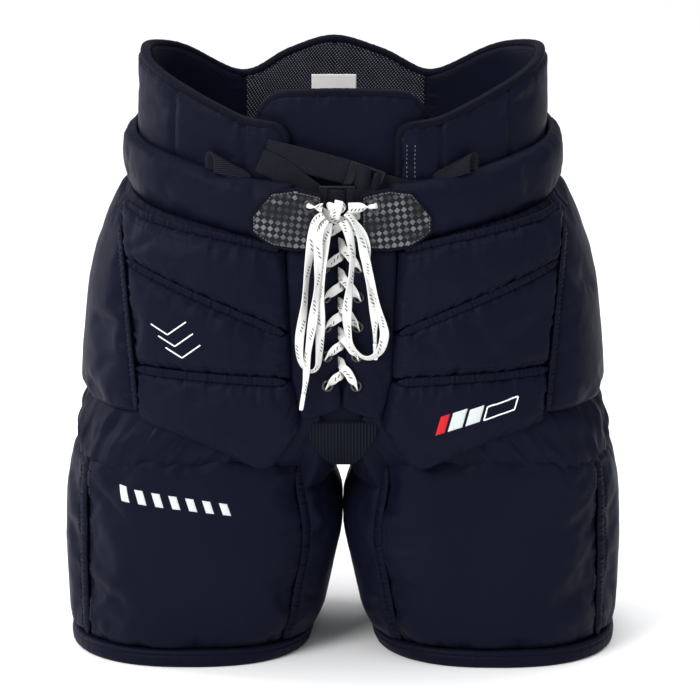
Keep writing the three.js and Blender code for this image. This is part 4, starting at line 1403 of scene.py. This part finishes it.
def stitches_on(name, pad, angles, heights, body, material=None, inside=False, **settings):
    """A stitch line that lies on a finished pad."""
    found, facing = pad.surface()(angles, heights, inside=inside)
    return stitch_line(name, found, facing, "nylon", body, material, **settings)


def binding(name, path, normals, width, height, body, seed, closed=False, material=None, slot="nylon"):
    """Folded tape around an edge: a rounded bar with small uneven puckers along it."""
    path = evenly(path, 1.5) if not closed else path
    if len(normals) != len(path):
        old = np.linspace(0, 1, len(normals))
        new = np.linspace(0, 1, len(path))
        normals = np.stack([np.interp(new, old, normals[:, axis]) for axis in range(3)], axis=1)
    profile = rounded_profile(width, height, min(width, height) * 0.42, 4)
    place = lengths_along(path)
    swell = 1 + 0.05 * waves(place, 6.5, seed)
    points, faces = sweep(path, normals, profile, np.stack([swell, 1 + (swell - 1) * 0.6], axis=1), closed)
    count = len(profile)
    around = lengths_along(profile)
    weave = np.stack([np.repeat(place, count), np.tile(around, len(path)), np.zeros(len(points))], axis=1) * MM
    return make_piece(name, points, outward(points, faces), [material or BINDING], slot, body, {"weave": weave})


def ruched_seam(name, ring, angles, heights, side, body, outset=-4.4, width=9.0, depth=4.2, seed=1):
    """The gathered fabric in the valley between two pads."""
    path = curve_through(ring_point(ring, np.asarray(angles, float), outset, np.asarray(heights, float)), 12)
    path = mirrored(evenly(path, 0.9), side)
    centre = np.array([float(ring(path[:, 2].mean())[0]) * side, 0, 0])
    facing = path - centre
    facing[:, 2] = 0
    facing = unit(facing)
    place = lengths_along(path)
    turns = np.linspace(0, 2 * math.pi, 14, endpoint=False)
    profile = np.stack([np.cos(turns) * depth / 2, np.sin(turns) * width / 2], axis=1)
    ridge = 0.42 * waves(place, 2.9, seed) + 0.3 * waves(place, 6.5, seed + 5)
    taper = np.sqrt(np.clip(np.minimum(place, place[-1] - place) / 9, 0.02, 1))
    points, faces = sweep(path, facing, profile, np.stack([1 + ridge, 1 + ridge * 0.12], axis=1) * taper[:, None])
    weave = np.stack([np.repeat(place, 14), np.tile(turns * width / 4, len(path)),
                      np.zeros(len(points))], axis=1) * MM
    return make_piece(name, points, outward(points, faces), [NYLON], "nylon", body, {"weave": weave})


# ---------------------------------------------------------------- the pads


def front_pad_place(bottom, top):
    def place(u, v):
        z = mix(bottom(u), top(u), v)
        x = mix(PAD_INNER_X(z), pad_outer_x(z), u)
        return front_angle(body_ring, x, z), z
    return place


def front_pad_edges():
    """The bottom and the top of the upper, middle and lower front pads, by the share of the way across."""
    half = SEAM / 2

    def belt_edge(u):
        x = mix(PAD_INNER_X(430), pad_outer_x(450), u)
        return BELT_BOTTOM(front_angle(body_ring, x, 450)) - SEAM

    return {
        "upper": (lambda u: UPPER_SEAM_Z(u) + half, belt_edge),
        "middle": (lambda u: LOWER_SEAM_Z(u) + half, lambda u: UPPER_SEAM_Z(u) - half),
        "lower": (FLAP_BOTTOM_Z, lambda u: LOWER_SEAM_Z(u) + half - FLAP_SEAM),
    }


def hip_place(u, v):
    z = mix(HIP_BOTTOM_Z, BELT_BOTTOM(mix(68, HIP_END_ANGLE, u)) - SEAM, v)
    front = front_angle(body_ring, pad_outer_x(z) + SEAM, z)
    return mix(front, HIP_END_ANGLE, u), z


def seat_place(u, v):
    angle = mix(HIP_END_ANGLE + 1.5, SEAT_END_ANGLE, u)
    return angle, mix(SEAT_BOTTOM_Z, BELT_BOTTOM(angle) - SEAM, v)


def tail_place(u, v):
    return mix(TAIL_ANGLE, 360 - TAIL_ANGLE, u), mix(TAIL_BOTTOM_Z, BELT_BOTTOM(180) - SEAM, v)


def shell_place(u, v):
    angle = mix(20, 179.5, u)
    top = np.minimum(BELT_BOTTOM(angle) - SEAM, WRAP_BOTTOM - SEAM)
    return angle, mix(SHELL_BOTTOM(angle), top, v)


def belt_side_place(u, v):
    angle = mix(front_angle(belt_ring, BELT_END_X), BELT_JOIN_ANGLE - 0.3, u)
    return angle, mix(BELT_BOTTOM(angle), BELT_TOP(angle), v)


def belt_back_place(u, v):
    angle = mix(BELT_JOIN_ANGLE + 0.3, 360 - BELT_JOIN_ANGLE - 0.3, u)
    half = 180 - np.abs(angle - 180)
    return angle, mix(BELT_BOTTOM(half), BELT_TOP(half), v)


def wing_place(u, v):
    angle = mix(front_angle(wrap_ring, WRAP_FRONT_X), WRAP_JOIN_ANGLE - 0.4, u)
    return angle, mix(WRAP_BOTTOM, WRAP_TOP(angle) - 2, v)


def wrap_back_top(angle):
    return WRAP_TOP(180 - np.abs(angle - BACK_TURN(angle) - 180))


def wrap_back_place(u, v):
    angle = mix(WRAP_JOIN_ANGLE + 0.4, 360 - WRAP_JOIN_ANGLE - 0.4, u)
    return angle, mix(WRAP_BOTTOM, wrap_back_top(angle) - 2, v)


BELLY_HALF_WIDTH, BELLY_BOTTOM, BELLY_TOP, BELLY_CORNER = 97, 437, 580, 32


def belly_top(x):
    into_corner = np.clip(np.abs(x) - (BELLY_HALF_WIDTH - BELLY_CORNER), 0, BELLY_CORNER)
    crowned = BELLY_TOP - 4 * (x / BELLY_HALF_WIDTH) ** 2
    return crowned - BELLY_CORNER + np.sqrt(BELLY_CORNER ** 2 - into_corner ** 2)


def belly_place(u, v):
    x = mix(-BELLY_HALF_WIDTH, BELLY_HALF_WIDTH, u)
    return front_angle(wrap_ring, x), mix(BELLY_BOTTOM, belly_top(x) - 1.5, v)


def fly_place(u, v):
    z = mix(FLY_BOTTOM_Z + 12 - 14 * u ** 0.7, FLY_TOP_Z, v)
    inner = np.interp(z, [284, 296], [0.8, FLY_GAP_X])
    return front_angle(body_ring, mix(inner, FLY_OUTER_X(z) + 4.5, u), z), z


def fly_gusset_place(u, v):
    z = mix(241, 450, v)
    return front_angle(body_ring, mix(-40, 40, u), z), z


def leg_place(start, end, top, bottom=HEM_HEIGHT + 1):
    top_at = top if callable(top) else (lambda angle: top)

    def place(u, v):
        angle = mix(start, end, u)
        return angle, mix(bottom, top_at(angle), v)
    return place


THIGH_TOP = along([[-45, 206], [-20, 218], [15, 218], [35, 208], [54, 205]])


def build_pads():
    """Every padded cover, by the name of the CAD node that it stands for."""
    pads = {}

    def add(name, ring, place, **settings):
        pads[name] = Pad(name, ring, place, seed=len(pads) + 3, **settings)

    for side in (LEFT, RIGHT):
        end = "_" + SIDE_NAME[side]
        leg = SIDE_NAME[side] + "_leg"
        for part, (bottom, top) in front_pad_edges().items():
            body = SIDE_NAME[side] + "_flap" if part == "lower" else "pants"
            add("front_pad_" + part + end, body_ring, front_pad_place(bottom, top), thickness=PAD_THICKNESS,
                side=side, body=body, roll=15, sink=5.5, crown=1.5, cap=3, loose=0.04, step=5.5, gather=1.7)
        add("hip_pad" + end, body_ring, hip_place, thickness=14, side=side, sink=6, cap=3,
            lean=along([[370, 0], [410, -4.5], [465, -6.5]]))
        add("seat_pad" + end, body_ring, seat_place, thickness=14, side=side, sink=7, cap=5, crown=3)
        add("shell" + end, body_ring, shell_place, outset=SHELL_OUTSET, thickness=SHELL_THICKNESS, side=side,
            slot="lining", roll=6, sink=0.8, crown=0, loose=0, gather=0.3, step=9, fill=0.2)
        add("belt" + end, belt_ring, belt_side_place, thickness=BELT_THICKNESS, side=side, roll=12, sink=7,
            crown=2, cap=2.5, loose=0.03, step=5.5, gather=0.6)
        add("wrap_wing" + end, wrap_ring, wing_place, thickness=WRAP_THICKNESS, side=side, roll=12, sink=2.6,
            back_sink=2.4, crown=0.8, cap=2.5, loose=0.03, step=5.5, lined=False,
            grooves=((wing_quilt_angle(97), 2.4), (wing_quilt_angle(163), 2.4)))
        add("fly_panel" + end, body_ring, fly_place, outset=FLY_OUTSET, thickness=FLY_THICKNESS, side=side,
            roll=5, sink=1.2, crown=0.6, cap=1.6, loose=0.04, step=4.5, gather=0.7, fill=0.3, pressure=1.2)
        add("thigh_pad" + end, leg_ring, leg_place(-45, 54, THIGH_TOP), thickness=20, side=side, body=leg,
            roll=18, sink=4.5, cap=5, crown=2.5, loose=0.07)
        add("thigh_side_pad" + end, leg_ring, leg_place(55.5, 130, 205), thickness=12, side=side, body=leg,
            roll=18, sink=4, cap=4, crown=2)
        add("back_thigh_panel" + end, leg_ring, leg_place(131.5, 225, 212), thickness=6, side=side, body=leg,
            sink=2.5, cap=5, crown=1, loose=0.08, fill=0.3)
        add("inner_thigh_panel" + end, leg_ring, leg_place(-133, -46.5, 178), thickness=4, side=side, body=leg,
            slot="gusset", sink=1.5, cap=2.2, crown=0.5, loose=0.06, fill=0.25)
    add("tailbone_pad", body_ring, tail_place, thickness=12, sink=5, cap=3)
    add("belt_back", belt_ring, belt_back_place, thickness=BELT_THICKNESS, roll=12, sink=7, crown=2, cap=3,
        loose=0.03)
    add("wrap_back", wrap_ring, wrap_back_place, thickness=WRAP_THICKNESS, roll=12, sink=2.6, back_sink=2.4,
        crown=0.6, cap=2.5, loose=0.03, lined=(MESH_START, MESH_END),
        grooves=((MESH_START, 2.4), (184.5, 2.4), (MESH_END, 2.4)))
    add("belly_pad", wrap_ring, belly_place, outset=-13.5, thickness=14, body="belly_pad", roll=14, sink=3.5,
        back_sink=3.5, crown=2, cap=2, loose=0.02, lined=True)
    add("fly_gusset", body_ring, fly_gusset_place, outset=-23, thickness=3, slot="nylon", roll=5, sink=0.8,
        crown=0, cap=2, loose=0.05, fill=0.2)
    return pads


def wing_quilt_angle(x):
    """The angle of a wing's quilting seam that is seen at x from the front."""
    return float(front_angle(wrap_ring, x))


# ---------------------------------------------------------------- edges and seams of the pads


def wing_edge():
    """The wing's free edge as angles and heights: up its front, round the corner and along its top."""
    front = float(front_angle(wrap_ring, WRAP_FRONT_X))
    rise = [(front, z) for z in np.linspace(456, 532, 12)]
    corner = [(front + 0.5, 538.5), (front + 1.9, 543.3)]
    top = [(angle, float(WRAP_TOP(angle)) - 3) for angle in np.linspace(front + 4.2, WRAP_JOIN_ANGLE, 40)]
    return np.array(rise + corner + top)


def add_wrap_bindings(pads):
    edge = wing_edge()
    path = curve_through(ring_point(wrap_ring, edge[:, 0], -WRAP_THICKNESS / 2, edge[:, 1]), 6)
    facing = ring_normal(wrap_ring, edge[:, 0], edge[:, 1])
    for side in (LEFT, RIGHT):
        name = SIDE_NAME[side]
        binding("wing_binding_" + name, mirrored(path, side), mirrored(facing, side), 9, 8.5, "pants", 31 + side)
        wing = pads["wrap_wing_" + name]
        for inside in (False, True):
            label = "inside" if inside else "outside"
            stitches_on(f"wing_top_stitching_{label}_{name}", wing, edge[14:, 0], edge[14:, 1] - 5.2, "pants",
                        inside=inside)
        for row, inset in enumerate((2.4, 5.4)):
            stitches_on(f"wing_front_stitching_{row}_{name}", wing, edge[:12, 0] + inset, edge[:12, 1], "pants",
                        PALE_THREAD, spacing=4.4, length=2.4, radius=0.3)
        ruched_seam(f"wrap_join_seam_{name}", wrap_ring, np.full(9, WRAP_JOIN_ANGLE), np.linspace(456, 597, 9),
                    side, "pants", outset=-5.5, width=5, depth=5, seed=35)
        for x in (97, 163):
            heights = np.linspace(WRAP_BOTTOM + 20, float(WRAP_TOP(wing_quilt_angle(x))) - 12, 30)
            stitches_on(f"quilt_stitching_{x}_{name}", pads["wrap_wing_" + name], wing_quilt_angle(x), heights,
                        "pants")
    angles = np.linspace(WRAP_JOIN_ANGLE, 360 - WRAP_JOIN_ANGLE, 120)
    heights = wrap_back_top(angles) - 3
    path = ring_point(wrap_ring, angles, -WRAP_THICKNESS / 2, heights)
    binding("wrap_back_binding", path, ring_normal(wrap_ring, angles, heights), 9, 8.5, "pants", 37)
    for inside in (False, True):
        label = "inside" if inside else "outside"
        stitches_on(f"wrap_back_stitching_{label}", pads["wrap_back"], angles[2:-2], heights[2:-2] - 5, "pants",
                    inside=inside)
    for angle in (MESH_START, MESH_END):
        stitches_on(f"wrap_back_seam_{angle}", pads["wrap_back"], angle, np.linspace(470, 545, 20), "pants",
                    inside=True)


def add_belly_binding(pads):
    front = np.linspace(-BELLY_HALF_WIDTH, BELLY_HALF_WIDTH, 90)
    x = np.concatenate([np.full(8, front[0]), front, np.full(8, front[-1])])
    z = np.concatenate([np.linspace(470, 540, 8), belly_top(front) - 3, np.linspace(540, 470, 8)])
    outset = -13.5 - 7
    path = ring_point(wrap_ring, front_angle(wrap_ring, x), outset, z)
    binding("belly_binding", path, ring_normal(wrap_ring, front_angle(wrap_ring, x), z), 9.5, 8.5, "belly_pad", 41)
    inner = np.linspace(-BELLY_HALF_WIDTH + 12, BELLY_HALF_WIDTH - 12, 80)
    stitches_on("belly_stitching", pads["belly_pad"], front_angle(wrap_ring, inner), belly_top(inner) - 9.5,
                "belly_pad")


def add_body_seams():
    share = np.linspace(0.015, 0.985, 9)
    edges = front_pad_edges()
    for side in (LEFT, RIGHT):
        name = SIDE_NAME[side]
        for label, edge, lift in (("upper", edges["upper"][0], -1.2), ("lower", edges["middle"][0], -2.4)):
            z = edge(share) + lift
            angles = front_angle(body_ring, mix(PAD_INNER_X(z), pad_outer_x(z), share), z)
            ruched_seam(f"{label}_pad_seam_{name}", body_ring, angles, z, side, "pants", seed=51)
        z = edges["upper"][1](share) + 1.2
        angles = front_angle(body_ring, mix(PAD_INNER_X(z), pad_outer_x(z), share), z)
        ruched_seam(f"belt_seam_{name}", body_ring, angles, z, side, "pants", outset=-5.5, seed=53)
        z = np.linspace(262, 440, 9)
        angles = front_angle(body_ring, pad_outer_x(z) + SEAM / 2, z)
        ruched_seam(f"hip_front_seam_{name}", body_ring, angles, z, side, "pants", seed=55, outset=-4)
        z = np.linspace(258, 464, 9)
        ruched_seam(f"hip_back_seam_{name}", body_ring, np.full(9, HIP_END_ANGLE + 0.7), z, side, "pants", seed=57)
        z = np.linspace(252, 464, 9)
        ruched_seam(f"seat_seam_{name}", body_ring, np.full(9, SEAT_END_ANGLE + 1.0), z, side, "pants",
                    outset=-5, seed=59)
        leg = name + "_leg"
        for label, angle, top in (("front", 54.7, 204), ("back", 130.7, 206), ("inner", -45.3, 203),
                                  ("rear_inner", 226.0, 203)):
            ruched_seam(f"leg_seam_{label}_{name}", leg_ring, np.full(9, angle), np.linspace(18, top, 9), side,
                        leg, seed=61, outset=-4.0, width=11, depth=4.4)


def add_belt_underlap():
    """The gathered top edge of the body's nylon, tucked in under the belt all the way round."""
    def place(u, v):
        angle = mix(23, 179.8, u)
        return angle, BELT_BOTTOM(angle) + mix(-15, 3, v)

    def lift(u, v):
        around = u * 560
        return -9.0 * v + 1.1 * waves(around, 8, 63) + 0.6 * waves(around, 3.6, 64)

    for side in (LEFT, RIGHT):
        thin_plate("belt_underlap_" + SIDE_NAME[side], body_ring, place, -7.0, 11, side, NYLON, "nylon", "pants",
                   step=1.5, lift=lift)


def add_leg_linings():
    """The mesh lining inside each leg, behind the pads, from the hem to the hip."""
    columns, rows = 150, 12
    angles = np.linspace(-133, 227, columns, endpoint=False)
    offset = np.interp(angles, [-50, -44, 52, 58, 128, 134, 224, 227], [-5.5, -21, -21, -13, -13, -7.5, -7.5, -5.5])
    top = np.interp(angles, [-60, -44, 220, 227], [176, 204, 204, 178])
    around = lengths_along(ring_point(leg_ring, angles, offset, 100.0))
    for side in (LEFT, RIGHT):
        name = SIDE_NAME[side]
        skins = []
        for inward in (0.0, 1.0):
            levels = [mix(4.0, top, row) for row in np.linspace(0, 1, rows)]
            grid = np.stack([ring_point(leg_ring, angles, offset - inward, z) for z in levels], axis=1)
            skins.append(mirrored(grid.reshape(-1, 3), side))
        count = columns * rows
        flip = side == RIGHT
        faces = quad_grid(columns, rows, wrap=True, flip=flip)
        faces += quad_grid(columns, rows, start=count, wrap=True, flip=not flip)
        flat = np.stack([np.repeat(around, rows), np.tile(np.linspace(0, 190, rows), columns),
                         np.zeros(count)], axis=1)
        make_piece("leg_lining_" + name, np.vstack(skins), faces, [LINING], "lining", name + "_leg",
                   {"weave": np.vstack([flat, flat]) * MM})


def add_stitches(pads):
    """Rows of stitching beside the seams that show."""
    edges = front_pad_edges()
    share = np.linspace(0.06, 0.94, 50)
    for side in (LEFT, RIGHT):
        name = SIDE_NAME[side]
        for part, edge, lift in (("upper", edges["upper"][1], -9.0), ("upper", edges["upper"][0], 8.0),
                                 ("middle", edges["middle"][1], -8.0), ("middle", edges["middle"][0], 8.0)):
            z = edge(share) + lift
            angles = front_angle(body_ring, mix(PAD_INNER_X(z), pad_outer_x(z), share), z)
            stitches_on(f"{part}_stitching_{'top' if lift < 0 else 'bottom'}_{name}",
                        pads[f"front_pad_{part}_{name}"], angles, z, "pants")
        leg = name + "_leg"
        for label, angle in (("inner", -40.5), ("outer", 50.0)):
            stitches_on(f"thigh_stitching_{label}_{name}", pads["thigh_pad_" + name], angle,
                        np.linspace(24, 196, 60), leg)
        for label, angle in (("front", 59.0), ("back", 126.0)):
            stitches_on(f"side_stitching_{label}_{name}", pads["thigh_side_pad_" + name], angle,
                        np.linspace(24, 196, 60), leg)


def add_hems():
    """Each leg's bound hem: a folded band with a stitched groove under its top edge."""
    profile = np.array([
        (-0.8, 0.0), (0.4, 1.2), (0.9, 5.0), (0.9, 9.0), (0.3, 11.0), (-0.5, 11.6), (0.3, 12.4), (0.2, 14.2),
        (-1.4, 16.6), (-4.5, 17.0), (-8.4, 16.2), (-9.0, 13.0), (-9.0, 3.0), (-8.2, 0.6), (-6.5, 0.0),
    ])
    angles = np.linspace(0, 360, 400, endpoint=False)
    place = lengths_along(ring_point(leg_ring, angles, 0, np.full(400, 8.0)))
    for side in (LEFT, RIGHT):
        name = SIDE_NAME[side]
        leg = name + "_leg"
        ripple = 0.35 * waves(place, 7.0, 71 + side)
        columns = []
        for out, height in profile:
            wavy = ripple * (1 if out > 0 else 0.3) * (0.0 if height <= 0 else 1.0)
            columns.append(ring_point(leg_ring, angles, out + wavy, np.full(400, height)))
        points = mirrored(np.stack(columns, axis=1).reshape(-1, 3), side)
        corners = len(profile)
        faces = []
        for i in range(len(angles)):
            near, far = i * corners, ((i + 1) % len(angles)) * corners
            for j in range(corners):
                k = (j + 1) % corners
                faces.append([near + j, near + k, far + k, far + j])
        weave = np.stack([np.repeat(place, corners), np.tile(lengths_along(profile), len(angles)),
                          np.zeros(len(points))], axis=1) * MM
        hem = make_piece("hem_band_" + name, points, outward(points, faces), [NYLON], "nylon", leg, {"weave": weave})
        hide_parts("leg_hem_" + name)
        path = mirrored(ring_point(leg_ring, angles, -0.3, np.full(400, 11.6)), side)
        facing = mirrored(ring_normal(leg_ring, angles, np.full(400, 11.6)), side)
        stitch_line("hem_stitching_" + name, path, facing, "nylon", leg, spacing=3.6, length=2.4)


# ---------------------------------------------------------------- crotch and hip fabric

GUSSET_SIDE = [
    (-133, 254), (-124, 226), (-95, 203), (-50, 191), (0, 185), (50, 187), (95, 200), (115, 218), (125, 236),
]
GUSSET_HALF_WIDTH = along([(-133, 38), (-124, 25), (-95, 11), (-50, 11), (50, 11), (95, 14), (125, 20)])


def gusset_height(y):
    depth, height = zip(*GUSSET_SIDE)
    return np.interp(y, depth, height)


def add_crotch_gusset():
    """A ribbed stretch band from the fly to the seat, wider where it meets them."""
    path = evenly(curve_through([(0, y, z) for y, z in GUSSET_SIDE], 10), 3.0)
    place = lengths_along(path)
    tangent = unit(np.gradient(path, axis=0))
    down = np.cross(tangent, np.tile([1.0, 0, 0], (len(path), 1)))
    columns = 31
    share = np.linspace(-1, 1, columns)
    half = GUSSET_HALF_WIDTH(path[:, 1])
    sag = 2.0 * (1 - share ** 2)[None, :] + 0.7 * np.cos(share * half[:, None] * 2 * math.pi / 3.6)
    sag = sag + 1.1 * waves(place, 26, 81)[:, None] * (1 - share ** 2)[None, :]
    x = share[None, :] * half[:, None]
    top = path[:, None] + x[..., None] * np.array([1.0, 0, 0]) - (sag + 1.5)[..., None] * -down[:, None] * -1
    low = path[:, None] + x[..., None] * np.array([1.0, 0, 0]) + (1.5 + 0 * sag)[..., None] * down[:, None]
    points = np.vstack([top.reshape(-1, 3), low.reshape(-1, 3)])
    rows, count = columns, len(path) * columns
    faces = quad_grid(len(path), rows) + quad_grid(len(path), rows, start=count, flip=True)
    faces += Pad.rim(len(path), rows, count, False)
    flat = np.stack([np.repeat(place, columns), x.ravel(), np.zeros(count)], axis=1) * MM
    piece = make_piece("crotch_rib_knit", points, outward(points, faces), [RIB_KNIT], "gusset", "pants",
                       {"weave": np.vstack([flat, flat])})
    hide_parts("crotch_gusset")


def add_hip_gathers():
    """Loose nylon from each leg's top up to the body, which folds as the leg swings."""
    columns, rows = 220, 22
    angles = np.linspace(-133, 227, columns, endpoint=False)
    share = np.linspace(0, 1, rows)
    inner = (angles < -46) | (angles > 226)
    low_z = np.where(inner, 172, np.interp(angles, [-46, -30, 54, 130, 226], [198, 205, 198, 198, 202]))
    lows = ring_point(leg_ring, angles, -5, low_z)
    out_share = np.clip((angles + 46) / 272, 0, 1)
    body_angle = mix(6, 174, out_share)
    high_z = np.interp(body_angle, [6, 40, 70, 115, 125, 174], [262, 272, 268, 266, 250, 256])
    highs = ring_point(body_ring, body_angle, -15, high_z)
    inner_y = np.clip(lows[:, 1] * 1.02, -124, 122)
    gusset_edge = np.stack([GUSSET_HALF_WIDTH(inner_y) - 3, inner_y, gusset_height(inner_y) + 2], axis=1)
    blend_in = np.interp(angles, [-133, -60, -38, 210, 227], [1, 1, 0, 0, 1])[:, None]
    highs = mix(highs, gusset_edge, smooth_step(0, 1, blend_in))
    for side in (LEFT, RIGHT):
        around = lengths_along(lows)
        gathers = waves(around, 17, 91 + side)
        fine = waves(around, 8.5, 95 + side)
        across = waves(around, 60, 97 + side)
        out = unit((lows - np.array([140.0, 0, 0])) * np.array([1, 1, 0]))
        columns_points = []
        for row in share:
            bulge = math.sin(math.pi * row)
            pinch = 1 - 0.7 * bulge
            amount = 7.5 * bulge + 2.3 * gathers * (0.45 + 0.55 * bulge) + 1.0 * fine * pinch
            amount = amount + 1.8 * bulge * np.sin(math.pi * row * 3 + 3 * across)
            damp = np.where(inner, 0.35, 1.0)
            columns_points.append(mix(lows, highs, row) + out * (amount * damp)[:, None])
        skin = np.stack(columns_points, axis=1)
        points = mirrored(skin.reshape(-1, 3), side)
        faces = quad_grid(columns, rows, wrap=True, flip=side == RIGHT)
        weave = np.stack([np.repeat(around, rows), np.tile(share * 66, columns), np.zeros(len(points))], axis=1) * MM
        name = SIDE_NAME[side]
        piece = make_piece("hip_gather_" + name, points, faces, [NYLON], "nylon", None, {"weave": weave})
        solid = piece.modifiers.new("fabric", "SOLIDIFY")
        solid.thickness = 1.2 * MM
        solid.offset = -1
        depsgraph = bpy.context.evaluated_depsgraph_get()
        piece.data = bpy.data.meshes.new_from_object(piece.evaluated_get(depsgraph))
        piece.modifiers.clear()
        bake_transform(piece, "pants", name + "_leg", start=(side * 0.14, -0.04, 0.262), end=(side * 0.14, -0.04, 0.198))


# ---------------------------------------------------------------- fly details, label and marks


def add_eyelets(pads):
    for side in (LEFT, RIGHT):
        name = SIDE_NAME[side]
        places = []
        for level in range(EYELET_LEVELS):
            z = EYELET_FIRST_Z + EYELET_STEP_Z * level
            places.append((side * eyelet_x(level), -(float(BODY_HALF_DEPTH(z)) + FLY_OUTSET), z))
        drill(pads["fly_panel_" + name].piece, places, 3.9)
        rings = [grommet((x, y - 1.2, z), 3.2, 5.9, 1.3, 5.5) for x, y, z in places]
        points, faces = joined(rings)
        piece = make_piece("lace_grommets_" + name, points, faces, [ENAMEL], "eyelet", "pants")
        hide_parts("fly_eyelets_" + name)


def add_care_label():
    """A plain white label, sewn by its top edge, with its lower corner lifting a little."""
    def place(u, v):
        return 180 - front_angle(wrap_ring, mix(14, -36, u)), mix(525, 550, v)

    lift = lambda u, v: -0.5 * (1 - v) * np.sin(3.0 * u + 0.6) * 1.2
    label = thin_plate("care_label_satin", wrap_ring, place, -WRAP_THICKNESS - 0.9, 0.35, LEFT, LABEL, "label",
                       "care_label", step=1.5, lift=lift)
    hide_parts("care_label")


def raised_patch(pad, corners, ring, height=0.55, step=1.6):
    """A satin-stitched patch on a pad. corners are its four corners as (x, z), going round."""
    a, b, c, d = [np.array(corner, float) for corner in corners]
    columns = max(3, int(np.linalg.norm(b - a) / step) + 1)
    rows = max(3, int(np.linalg.norm(d - a) / step) + 1)
    u, v = np.meshgrid(np.linspace(0, 1, columns), np.linspace(0, 1, rows), indexing="ij")
    flat = mix(mix(a, b, u[..., None]), mix(d, c, u[..., None]), v[..., None])
    x, z = flat[..., 0].ravel(), flat[..., 1].ravel()
    angles = front_angle(ring, np.abs(x) if pad.side == RIGHT else x, z)
    found, facing = pad.surface()(angles, z)
    edge = np.minimum(np.minimum(u, 1 - u) * columns, np.minimum(v, 1 - v) * rows).ravel()
    dome = height * (0.35 + 0.65 * np.clip(edge / 1.5, 0, 1))
    top = found + facing * dome[:, None]
    low = found - facing * 0.6
    count = columns * rows
    faces = quad_grid(columns, rows) + quad_grid(columns, rows, start=count, flip=True)
    faces += Pad.rim(columns, rows, count, False)
    points = np.vstack([top, low])
    return points, outward(points, faces)


def raised_line(pad, route, ring, radius=0.75):
    """A satin-stitched line on a pad, through (x, z) places."""
    flat = evenly([(x, 0, z) for x, z in route], 1.2)
    x, z = flat[:, 0], flat[:, 2]
    angles = front_angle(ring, np.abs(x) if pad.side == RIGHT else x, z)
    found, facing = pad.surface()(angles, z, lift=-0.0)
    turns = np.linspace(0, 2 * math.pi, 8, endpoint=False)
    circle = np.stack([np.cos(turns) * radius * 0.7, np.sin(turns) * radius], axis=1)
    return sweep(found, facing, circle)


def add_marks(pads):
    """Plain shapes in thread where the real pants carry marks: bars, chevrons and a slanted flash."""
    thigh = pads["thigh_pad_right"]
    bars = []
    for number in range(7):
        x = -219 + 16.5 * number
        z = 178 - 2.2 * number
        height = 15 - 0.5 * number
        bars.append(raised_patch(thigh, [(x + 3, z - height / 2), (x + 11, z - height / 2 - 1),
                                         (x + 7, z + height / 2 - 1), (x - 1, z + height / 2)], leg_ring))
    make_piece("thigh_bars", *joined(bars), [SILVER_THREAD], "nylon", "right_leg")
    middle = pads["front_pad_middle_right"]
    lines = []
    for number in range(3):
        z = 352 - 11 * number
        x = -185 + 7 * number
        lines.append(raised_line(middle, [(x, z), (x + 16, z - 9), (x + 34, z + 5)], body_ring, 0.7))
    make_piece("pad_chevrons", *joined(lines), [WHITE_THREAD], "nylon", "pants")
    flap = pads["front_pad_lower_left"]
    slant = 0.3

    def slab(x, z, width, height):
        lean = 0.28 * height
        return [(x, z), (x + width, z + slant * width), (x + width + lean, z + slant * width + height),
                (x + lean, z + height)]

    make_piece("flap_flash_red", *joined([raised_patch(flap, slab(91, 246, 9, 19), body_ring)]), [RED_THREAD],
               "nylon", "left_flap")
    grey = [raised_patch(flap, slab(103 + 17 * n, 249.6 + 5.1 * n, 14, 19 - 2.5 * n), body_ring) for n in range(2)]
    make_piece("flap_flash_silver", *joined(grey), [SILVER_THREAD], "nylon", "left_flap")
    outline = slab(138, 260, 30, 13)
    edge = raised_line(flap, outline + outline[:1], body_ring, 0.75)
    make_piece("flap_flash_outline", *joined([edge]), [WHITE_THREAD], "nylon", "left_flap")


def finish_hidden_boards():
    for node in ("tailbone_plate", "thigh_plate_left", "thigh_plate_right"):
        for material_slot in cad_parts[node].material_slots:
            material_slot.material = INSERT


# ---------------------------------------------------------------- the whole object

add_camera()
add_studio()
add_laced_part()
add_knot()
add_bow()
PADS = build_pads()
simulate([pad for pad in PADS.values() if pad.loose > 0])
for cover in PADS.values():
    cover.refine()
add_eyelets(PADS)
add_tabs()
add_straps()
add_suspender_loops()
add_wrap_bindings(PADS)
add_belly_binding(PADS)
add_body_seams()
add_belt_underlap()
add_leg_linings()
add_stitches(PADS)
add_hems()
add_crotch_gusset()
add_hip_gathers()
add_care_label()
add_marks(PADS)
finish_hidden_boards()
